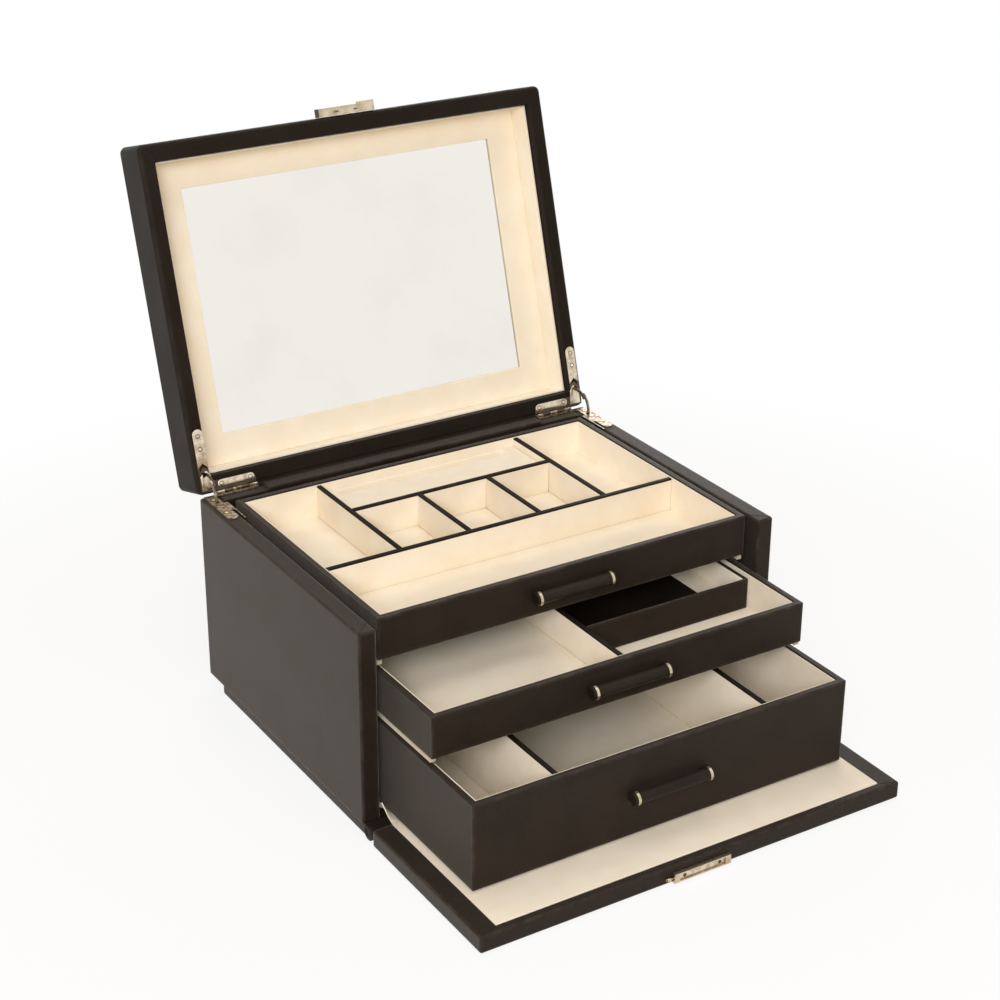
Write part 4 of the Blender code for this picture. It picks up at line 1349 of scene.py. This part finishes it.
@dataclass
class Drawer:
    """One drawer: its covered box, its lining with a covered card in each bay, its handle and glides."""

    name: str
    body: Body
    floor: float
    height: float
    front: float
    bays: list[Bay]
    lining_half: float = 0.1289
    depth: float = 0.1885
    wall: float = 0.0046
    lining_floor: float = 0.0027
    lining_thickness: float = 0.0007
    lining_corner: float = 0.0007
    lining_drop: float = 0.0006
    card_reach: float = 0.0003
    card_edge_share: float = 0.6
    card_crown_share: float = 0.3

    def build(self) -> None:
        """Dress the box and model the lining."""
        dress(f"{self.name}_box", COVER, Board.of_node(f"{self.name}_box"))
        dress(f"{self.name}_handle", WRAP)
        for side in Side:
            dress(f"{self.name}_glide_{side.word}", FELT)
            dress(f"{self.name}_band_{side.word}", GOLD)
        pieces = [self.lining(), *(self.card(index, bay) for index, bay in enumerate(self.bays))]
        lining = joined(f"{self.name}_suede", pieces)
        hand_over(place_on_case(lining), self.body, SUEDE, [f"{self.name}_lining"])

    def lining(self) -> Piece:
        """Model the suede walls and the floor under the cards."""
        low = (-self.lining_half, self.front + self.wall, self.floor + self.lining_floor)
        top = self.floor + self.height - self.lining_drop
        high = (self.lining_half, self.front + self.depth - self.wall, top)
        thickness = self.lining_thickness
        return open_tray(f"{self.name}_suede", low, high, thickness, thickness, self.lining_corner)

    def card(self, index: int, bay: Bay) -> Piece:
        """Model the suede-covered card on a bay's floor.

        Args:
            index: The bay's number.
            bay: The bay.

        Returns:
            The card.
        """
        level = self.floor + self.lining_floor + self.lining_thickness
        reach, thickness = self.card_reach, bay.thickness
        low = (bay.low[0] - reach, self.front + bay.low[1] - reach, level)
        high = (bay.high[0] + reach, self.front + bay.high[1] + reach, level + thickness)
        return soft_board(
            f"card_{index}", low, high, thickness * self.card_edge_share, thickness * self.card_crown_share,
        )


@dataclass
class Divider:
    """A divider: a suede-covered board under a narrow cap of dark leather."""

    node: str
    body: Body
    cap_height: float = 0.0013
    cap_round: float = 0.00045
    cap_taper: float = 0.0003
    inset: float = 0.00012
    overlap: float = 0.0002
    board_round: float = 0.0003

    def build(self) -> None:
        """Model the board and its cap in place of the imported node."""
        low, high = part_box(self.node)
        along_x = high.x - low.x > high.y - low.y
        split = high.z - self.cap_height
        inset = Vector((0.0, self.inset, 0.0) if along_x else (self.inset, 0.0, 0.0))
        board_high = Vector((high.x, high.y, split + self.overlap)) - inset
        board = start_block(f"{self.node}_board", low + inset, board_high)
        hand_over(round_edges(board, self.board_round, 2), self.body, SUEDE, [self.node])
        cap = start_block(f"{self.node}_cap", (low.x, low.y, split), high)
        with editing(cap):
            pick_faces(facing(z=-1))
            bpy.ops.mesh.inset(thickness=self.cap_taper, depth=0)
            extrude_by((0, 0, self.cap_taper))
        hand_over(round_edges(cap, self.cap_round, 3, 60.0), self.body, PAPER)


@dataclass
class RearPad:
    """The padded insert at the back of the top drawer, with its long slot."""

    node: str = "top_rear_pad"
    slot_width: float = 0.0066
    slot_depth: float = 0.0055
    slot_back: float = 0.0020
    slot_end: float = 0.0105
    edge_round: float = 0.0013

    def build(self) -> None:
        """Model the pad: a rounded block with a slot pressed in along its back."""
        low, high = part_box(self.node)
        pad = start_block("rear_pad", low, high)
        far = high.y - self.slot_back
        near, start, end = far - self.slot_width, low.x + self.slot_end, high.x - self.slot_end
        cut_lines(pad, (start, end), (near, far), facing(z=1))

        def in_slot(middle: Vector, way: Vector) -> bool:
            """Tell the face where the slot is pressed in."""
            return way.z > STRAIGHT and near < middle.y < far and start < middle.x < end

        with editing(pad):
            pick_faces(in_slot)
            extrude_by((0, 0, -self.slot_depth))
        hand_over(round_edges(pad, self.edge_round, 4, 50.0), Body.TOP, SUEDE, [self.node])


@dataclass
class LiftTray:
    """The tray that slides and lifts out of the middle drawer."""

    wall: float = 0.0015
    floor: float = 0.0023
    thickness: float = 0.0007
    corner: float = 0.0006
    drop: float = 0.0006
    end_length: float = 0.0160
    end_drop: float = 0.0002
    card: float = 0.0008
    card_round: float = 0.0003

    def build(self) -> None:
        """Dress the tray and model its dark lining, which also stands as painted shade under the top drawer,
        with a suede-covered right end where the light falls.
        """
        dress("lift_tray", COVER, Board.of_node("lift_tray"))
        low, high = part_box("lift_tray")
        low += Vector((self.wall, self.wall, self.floor))
        high -= Vector((self.wall, self.wall, self.drop))
        # The dark lining is partly painted shade: it darkens the tray's inside, which lies in the top
        # drawer's shadow, and suede is kept only at the lit right end.
        lining = open_tray("lift_tray_leather", low, high, self.thickness, self.thickness, self.corner)
        hand_over(lining, Body.LIFT_TRAY, PAPER)
        hand_over(self.build_end(low, high), Body.LIFT_TRAY, SUEDE, ["lift_tray_lining"])

    def build_end(self, low: Vector, high: Vector) -> Piece:
        """Model the suede-covered cards of the right end.

        Args:
            low: The lining's lowest corner.
            high: The lining's highest corner.

        Returns:
            The cards, in one piece.
        """
        low = low + Vector((self.thickness,) * 3)
        high = high - Vector((self.thickness, self.thickness, self.end_drop))
        start, wall, level = high.x - self.end_length, high.x - self.card, low.z + self.card
        blocks = [
            ((start, low.y, low.z), (high.x, high.y, level)),
            ((wall, low.y, level), tuple(high)),
            ((start, high.y - self.card, level), (wall, high.y, high.z)),
            ((start, low.y, level), (wall, low.y + self.card, high.z)),
        ]
        cards = [round_edges(start_block("end_card", *block), self.card_round, 2) for block in blocks]
        return joined("lift_tray_suede", cards)


@dataclass
class Lid:
    """The lid: its leather shell, its seams, its suede lining, and the frame of the mirror."""

    half_width: float = 0.150
    front: float = -0.2263
    back: float = 0.0002
    rim: float = 0.0013
    height: float = 0.034
    side_border: float = 0.0102
    front_border: float = 0.0117
    back_border: float = 0.0118
    view_depth: float = 0.023
    frame_thickness: float = 0.0036
    frame_round: float = 0.0006
    lining: float = 0.0010
    lining_drop: float = 0.0060
    lining_corner: float = 0.0012
    gap: float = 0.0003
    mirror_side: float = 0.0219
    mirror_front: float = 0.0182
    mirror_back: float = 0.0197
    mirror: float = 0.0020
    # The strip of painted shade at the mirror's right edge.
    shade_strip: Pair = (0.0004, 0.0002)
    shade_strip_drop: float = 0.0006
    seam_start: float = 0.0020
    seam_over: float = 0.0006

    def build(self) -> None:
        """Dress the shell and the mirror, and model the lining, the frame and the seams."""
        low = (-self.half_width, self.front, self.rim)
        high = (self.half_width, self.back, self.rim + self.height)
        # The shell takes the darker copy of the leather: painted shade.
        dress("lid_shell", SHADED_LID_COVER, Board(low, high, True))
        dress("mirror", MIRROR)
        self.build_lining()
        self.build_frame()
        outer = (self.half_width - self.seam_start, self.front + self.seam_start, self.rim)
        inner_x = self.half_width - self.side_border + self.seam_over
        inner = (inner_x, self.front + self.front_border - self.seam_over, self.rim)
        seam = Seam("lid_seam", Body.LID, outer, inner, width=0.0008, height=0.00025, up=-1, put=place_on_lid)
        seam.sew()

    def recess(self) -> tuple[Vector, Vector]:
        """Give the corners of the room inside the lid's lining."""
        inset = self.gap + self.lining + self.gap
        edge = self.half_width - self.side_border - inset
        low = Vector((-edge, self.front + self.front_border + inset, self.rim))
        return low, Vector((edge, self.back - self.back_border - inset, self.rim + self.view_depth))

    def build_lining(self) -> None:
        """Model the suede walls round the mirror, with a rolled edge at the rim."""
        low, high = self.recess()
        wall = self.lining + self.gap
        outer_low = (low.x - wall, low.y - wall, self.rim + self.lining_drop)
        outer_high = (high.x + wall, high.y + wall, high.z + self.frame_thickness + self.lining)
        lining = open_tray("lid_suede", outer_low, outer_high, wall, self.lining, self.lining_corner)
        flip = Matrix.Translation((0, 0, outer_low[2] + outer_high[2])) @ Matrix.Diagonal((1, 1, -1, 1))
        lining.data.transform(flip)
        lining.data.flip_normals()
        hand_over(place_on_lid(lining), Body.LID, SUEDE, ["lid_lining"])

    def build_frame(self) -> None:
        """Model the padded frame round the mirror, and a strip of darker felt at the mirror's right edge,
        painted shade for the window's shaded side.
        """
        low, high = self.recess()
        top = high.z + self.frame_thickness - self.mirror - self.gap
        piece = start_block("mirror_surround", (low.x, low.y, high.z), (high.x, high.y, top))
        edge, near, far = high.x - self.mirror_side, low.y + self.mirror_front, high.y - self.mirror_back
        cut_lines(piece, (-edge, edge), (near, far))

        def over_mirror(middle: Vector, way: Vector) -> bool:
            """Tell the faces over the mirror, in front and behind."""
            return abs(way.z) > STRAIGHT and abs(middle.x) < edge and near < middle.y < far

        with editing(piece):
            pick_faces(over_mirror)
            bpy.ops.mesh.bridge_edge_loops()
        round_edges(piece, self.frame_round, 3, 50.0)
        hand_over(place_on_lid(piece), Body.LID, SUEDE, ["mirror_frame"])
        # A strip of darker felt along the mirror's right edge is painted shade.
        inward, outward = self.shade_strip
        shade_strip_low = (edge - inward, near + inward, high.z + self.shade_strip_drop)
        shade_strip = start_block("mirror_shade_strip", shade_strip_low, (edge + outward, far - inward, top))
        hand_over(place_on_lid(shade_strip), Body.LID, FELT)


@dataclass
class LidCatch:
    """The hasp on the lid's front edge, in the closed lid's frame."""

    end_shade_low: Triple = (-0.0214, -0.2321, 0.0021)
    end_shade_high: Triple = (-0.0211, -0.2266, 0.0077)
    slots: tuple[Pair, ...] = ((-0.0108, -0.0056), (0.0044, 0.0096))
    slot_y: Pair = (-0.2297, -0.2283)
    slot_z: Pair = (0.0021, 0.0025)

    def build(self) -> None:
        """Dress the hasp, and model a dark plate on its left end and dark bars in its slots, both painted
        shade.
        """
        dress("lid_catch", GOLD)
        # A thin dark plate on the hasp's left end paints the shade on that side.
        end = start_block("lid_catch_end_shade", self.end_shade_low, self.end_shade_high)
        hand_over(place_on_lid(end), Body.LID, DARK_METAL)
        # Dark bars fill the slots, painting the shade seen through them.
        for side, ends in zip(Side, self.slots):
            corners = zip(ends, self.slot_y, self.slot_z)
            bar = start_block(f"lid_catch_bar_{side.word}", *corners)
            hand_over(place_on_lid(bar), Body.LID, LEAF_GOLD)


@dataclass
class QuadrantHinge:
    """One quadrant hinge: its leaves, its pin, the polished plates on the lid's leaf and its screws.

    The places are (x, y) from the hinge axis, on the right-hand hinge.
    """

    side: Side
    plate: float = 0.00018
    sunk: float = 0.0002
    round_share: float = 0.7
    lid_face: float = 0.0004
    case_top: float = -0.0004
    leg: Pair = (0.1403, 0.1475)
    leg_end: float = -0.0432
    leg_foot: float = -0.0170
    leg_slant: float = 0.0008
    leg_notch: float = -0.0206
    tongue: Pair = (0.1385, 0.1468)
    tongue_tip: float = -0.0156
    tip_width: float = 0.0012
    tip_height: float = 0.0008
    tongue_shoulder: float = -0.0122
    back: Pair = (0.1095, 0.1358)
    back_y: Pair = (-0.0079, -0.0026)
    arm_x: Pair = (0.1434, 0.1452)
    arm_y: Pair = (-0.0147, -0.0114)
    cut_reach: float = 0.001
    lid_screw: Screw = Screw(0.0012, 0.00022)
    case_screw: Screw = Screw(0.0016, 0.00033)
    lid_screws: tuple[Pair, ...] = (
        (0.1439, -0.0385), (0.1439, -0.0300), (0.1330, -0.0052), (0.1125, -0.0052),
    )
    case_screws: tuple[Pair, ...] = ((0.1450, -0.0300), (0.1440, -0.0085))

    def build(self) -> None:
        """Dress the leaves and the pin, lay the plates and drive the screws."""
        word = self.side.word
        dress(f"hinge_case_leaf_{word}", LEAF_GOLD)
        dress(f"hinge_lid_leaf_{word}", DARK_METAL)
        dress(f"hinge_pin_{word}", LEAF_GOLD)
        for name, outline in self.plates().items():
            plate = self.build_plate(f"hinge_{name}_{word}", outline)
            if name == "tongue_plate":
                self.cut_arm_slot(plate)
            hand_over(place_on_lid(plate), Body.LID, HINGE_GOLD)
        self.drive("case_leaf_screw", self.case_screw, Body.CASE, self.case_screws)
        self.drive("lid_leaf_screw", self.lid_screw, Body.LID, self.lid_screws)

    def drive(self, name: str, screw: Screw, body: Body, places: Sequence[Pair]) -> None:
        """Drive the screws of one leaf.

        Args:
            name: The screws' name.
            screw: The screw.
            body: The body of the leaf, the case or the lid.
            places: Their places.
        """
        on_lid = body is Body.LID
        move = lid_matrix() if on_lid else Matrix.Translation(LID_AXIS)
        level, sign, step = (self.lid_face - self.plate, -1, 50.0) if on_lid else (self.case_top, 1, 35.0)
        # The dark metal discs round the heads are painted shade.
        row = ScrewRow(screw, body, HINGE_GOLD, DARK_METAL)
        for index, (x, y) in enumerate(places):
            place = move @ Vector((self.side.value * x, y, level))
            up = move.to_3x3() @ Vector((0, 0, sign))
            row.drive(f"{name}_{self.side.word}_{index}", place, up, step * index)

    def plates(self) -> dict[str, list[Pair]]:
        """List the outlines of the three plates."""
        inner, outer = self.leg
        radius, middle = (outer - inner) / 2, (inner + outer) / 2
        foot = [(inner, self.leg_foot), (middle, self.leg_notch), (outer, self.leg_foot - self.leg_slant)]
        low, high = self.tongue
        near, far = self.back_y
        tip, shoulder, cheek = (low + high) / 2, self.tongue_shoulder, self.tongue_tip + self.tip_height
        tongue = [
            (high, far), (high, shoulder), (tip + self.tip_width, cheek), (tip, self.tongue_tip),
            (tip - self.tip_width, cheek), (low + self.tip_width, shoulder), (low, far),
        ]
        start, end = self.back
        half = (far - near) / 2
        return {
            "leg_plate": arc((middle, self.leg_end + radius), radius, 0, -180) + foot,
            "tongue_plate": tongue,
            "back_plate": arc((start + half, far - half), half, 90, 270)
            + arc((end - half, near + half), half, -90, 90),
        }

    def cut_arm_slot(self, plate: Piece) -> None:
        """Cut the slot that the case leaf's stop arm passes when the lid closes.

        Args:
            plate: The tongue plate, in the closed lid's frame.
        """
        start, end = sorted(self.side.value * x for x in self.arm_x)
        low = (start, self.arm_y[0], self.lid_face - self.cut_reach)
        high = (end, self.arm_y[1], self.lid_face + self.cut_reach)
        cut_away(plate, start_block("arm_slot", low, high))

    def build_plate(self, name: str, outline: Sequence[Pair]) -> Piece:
        """Model a flat plate with a softly rounded face.

        Args:
            name: The piece's name.
            outline: Its outline.

        Returns:
            The plate, in the closed lid's frame.
        """
        deselect()
        bpy.ops.mesh.primitive_circle_add(vertices=len(outline), fill_type="NGON")
        piece = named(name)
        for vert, (x, y) in zip(piece.data.vertices, outline):
            vert.co = (self.side.value * x, y, self.lid_face + self.sunk)
        with editing(piece, everything=True):
            extrude_by((0, 0, -self.sunk - self.plate))
        with editing(piece, everything=True):
            bpy.ops.mesh.normals_make_consistent(inside=False)
        return round_edges(piece, self.plate * self.round_share, 2, 50.0)


# The studio


def seen_share(sheet: NodeSheet) -> Socket:
    """Give 1 for the camera's, mirrored and see-through rays, and 0 for the light of others.

    Args:
        sheet: The node tree that needs it.

    Returns:
        The share.
    """
    path = sheet.node("ShaderNodeLightPath").outputs
    mirrored = sheet.math("MAXIMUM", path["Is Glossy Ray"], path["Is Transmission Ray"])
    return sheet.math("MAXIMUM", path["Is Camera Ray"], mirrored)


@dataclass
class Lamp:
    """A soft square lamp, with its place, its aim, its side in metres and its power in watts."""

    name: str
    place: Triple
    aim: Triple
    size: float
    power: float

    def hang(self) -> None:
        """Hang the lamp."""
        deselect()
        bpy.ops.object.light_add(type="AREA", location=self.place)
        lamp = bpy.context.active_object
        lamp.name = self.name
        lamp.data.size = self.size
        lamp.data.energy = self.power
        lamp.rotation_euler = (Vector(self.aim) - Vector(self.place)).to_track_quat("-Z", "Y").to_euler()


@dataclass
class Studio:
    """A plain pale floor, soft lamps and the camera of the photograph."""

    eye: Triple = (-0.6504, -1.04835, 0.7218)
    azimuth: float = -32.07
    elevation: float = 25.04
    roll: float = 0.335
    focal_share: float = 2.13890
    sensor: float = 36.0
    clip_end: float = 50.0
    floor_size: float = 12.0
    floor_drop: float = 0.0002
    floor_color: Triple = (0.87, 0.82, 0.75)
    shadow_share: float = 0.18
    shadow_reach: Pair = (0.32, 0.64)
    fill: Triple = (0.23, 0.18, 0.125)
    lamps: tuple[Lamp, ...] = (
        Lamp("left_lamp", (-1.30, -1.45, 1.30), (0.0, -0.1, 0.1), 0.9, 22.0),
        Lamp("front_lamp", (-0.98, -1.80, 1.10), (0.0, -0.1, 0.1), 0.8, 13.0),
        Lamp("top_lamp", (0.10, -0.10, 2.10), (0.0, -0.05, 0.1), 1.4, 12.0),
        Lamp("back_lamp", (1.10, 1.50, 0.90), (0.0, 0.0, 0.1), 1.4, 12.0),
    )

    def build(self) -> None:
        """Make the floor, the world, the lamps and the camera."""
        self.build_floor()
        self.build_world()
        for lamp in self.lamps:
            lamp.hang()
        self.build_camera()
        bpy.context.scene.view_settings.view_transform = "Standard"

    def build_floor(self) -> None:
        """Make the floor, white to the camera and in reflections, with the object's shadow on it."""
        deselect()
        bpy.ops.mesh.primitive_plane_add(size=self.floor_size, location=(0, 0, -self.floor_drop))
        floor = named("floor")
        material, sheet, shader = new_material("studio_floor")
        seen = seen_share(sheet)
        reach = sheet.node("ShaderNodeVectorMath", {0: sheet.place()}, operation="LENGTH").outputs["Value"]
        far = sheet.spread(reach, *self.shadow_reach)
        paper = sheet.mix(far, (self.shadow_share,) * 3, (0, 0, 0))
        sheet.give(shader.inputs["Base Color"], sheet.mix(seen, self.floor_color, paper))
        sheet.give(shader.inputs["Roughness"], 0.9)
        sheet.give(shader.inputs["Specular IOR Level"], 0.0)
        white = sheet.math("MULTIPLY_ADD", far, self.shadow_share, 1.0 - self.shadow_share)
        glow = sheet.node("ShaderNodeEmission", {"Strength": sheet.math("MULTIPLY", seen, white)})
        total = sheet.node("ShaderNodeAddShader", {0: shader.outputs[0], 1: glow.outputs[0]})
        sheet.give(material.node_tree.nodes["Material Output"].inputs["Surface"], total.outputs[0])
        floor.data.materials.append(material)

    def build_world(self) -> None:
        """Light the scene from all round, and show white behind it."""
        world = bpy.data.worlds.new("studio_world")
        bpy.context.scene.world = world
        world.use_nodes = True
        sheet = NodeSheet(world.node_tree)
        shade = sheet.mix(seen_share(sheet), self.fill, (1, 1, 1))
        sheet.give(world.node_tree.nodes["Background"].inputs["Color"], shade)

    def build_camera(self) -> None:
        """Set the camera at the photograph's angle."""
        turn, rise, roll = radians(self.azimuth), radians(self.elevation), radians(self.roll)
        back = Vector((sin(turn) * cos(rise), -cos(turn) * cos(rise), sin(rise)))
        right = (-back).cross(Vector((0, 0, 1))).normalized()
        up = right.cross(-back)
        across = right * cos(roll) + up * sin(roll)
        above = up * cos(roll) - right * sin(roll)
        data = bpy.data.cameras.new("camera")
        data.sensor_fit = "HORIZONTAL"
        data.sensor_width = self.sensor
        data.lens = self.sensor * self.focal_share
        data.clip_end = self.clip_end
        camera = bpy.data.objects.new("camera", data)
        bpy.context.scene.collection.objects.link(camera)
        aim = Matrix((across, above, back)).transposed().to_4x4()
        camera.matrix_world = Matrix.Translation(self.eye) @ aim
        bpy.context.scene.camera = camera


@dataclass
class DrawerPlan:
    """Where the dividers of the drawers stand, from the middle and the front edge of a drawer."""

    edge: float = 0.1280
    front: float = 0.0055
    back: float = 0.1830
    divider_half: float = 0.0015
    gap: float = 0.0003
    bottom_x: float = 0.0750
    long_x: float = 0.0760
    small_x: float = 0.0260
    cross_y: float = 0.0735
    rear_y: float = 0.1392
    sheet: float = 0.0002

    @property
    def reach(self) -> float:
        """Give the room that half a divider takes."""
        return self.divider_half + self.gap

    def bottom(self) -> list[Bay]:
        """List the bays of the bottom drawer."""
        near, far = self.bottom_x - self.reach, self.bottom_x + self.reach
        spans = ((-self.edge, -far), (-near, near), (far, self.edge))
        return [Bay((low, self.front), (high, self.back)) for low, high in spans]

    def middle(self) -> list[Bay]:
        """List the bays of the middle drawer, with only a sheet under the lift-out tray."""
        left = Bay((-self.edge, self.front), (-self.reach, self.back))
        return [left, Bay((self.reach, self.front), (self.edge, self.back), self.sheet)]

    def top(self) -> list[Bay]:
        """List the bays of the top drawer, except the padded one."""
        near, far = self.cross_y + self.reach, self.rear_y - self.reach
        long_near, long_far = self.long_x - self.reach, self.long_x + self.reach
        small_near, small_far = self.small_x - self.reach, self.small_x + self.reach
        bays = [
            Bay((-self.edge, self.front), (self.edge, self.cross_y - self.reach)),
            Bay((-self.edge, near), (-long_far, self.back)), Bay((long_far, near), (self.edge, self.back)),
        ]
        small = ((-long_near, -small_far), (-small_near, small_near), (small_far, long_near))
        return bays + [Bay((low, near), (high, far)) for low, high in small]


def main() -> None:
    """Build the box's pieces in order, then the studio."""
    logging.basicConfig(level=logging.INFO, format="%(name)s: %(message)s")
    plan = DrawerPlan()
    Case().build()
    SoftHinge().build()
    Door().build()
    DoorCatch().build()
    Drawer("drawer_bottom", Body.BOTTOM, 0.0133, 0.0568, -0.0982, plan.bottom()).build()
    Drawer("drawer_middle", Body.MIDDLE, 0.0763, 0.0275, -0.0538, plan.middle()).build()
    Drawer("drawer_top", Body.TOP, 0.1110, 0.0276, 0.0075, plan.top()).build()
    for word in ("left", "right"):
        Divider(f"divider_bottom_{word}", Body.BOTTOM).build()
    Divider("divider_middle", Body.MIDDLE).build()
    for word in ("front", "rear", "long_left", "long_right", "small_left", "small_right"):
        Divider(f"divider_top_{word}", Body.TOP).build()
    RearPad().build()
    LiftTray().build()
    Lid().build()
    LidCatch().build()
    for side in Side:
        QuadrantHinge(side).build()
    Studio().build()


if __name__ == "__main__":
    main()
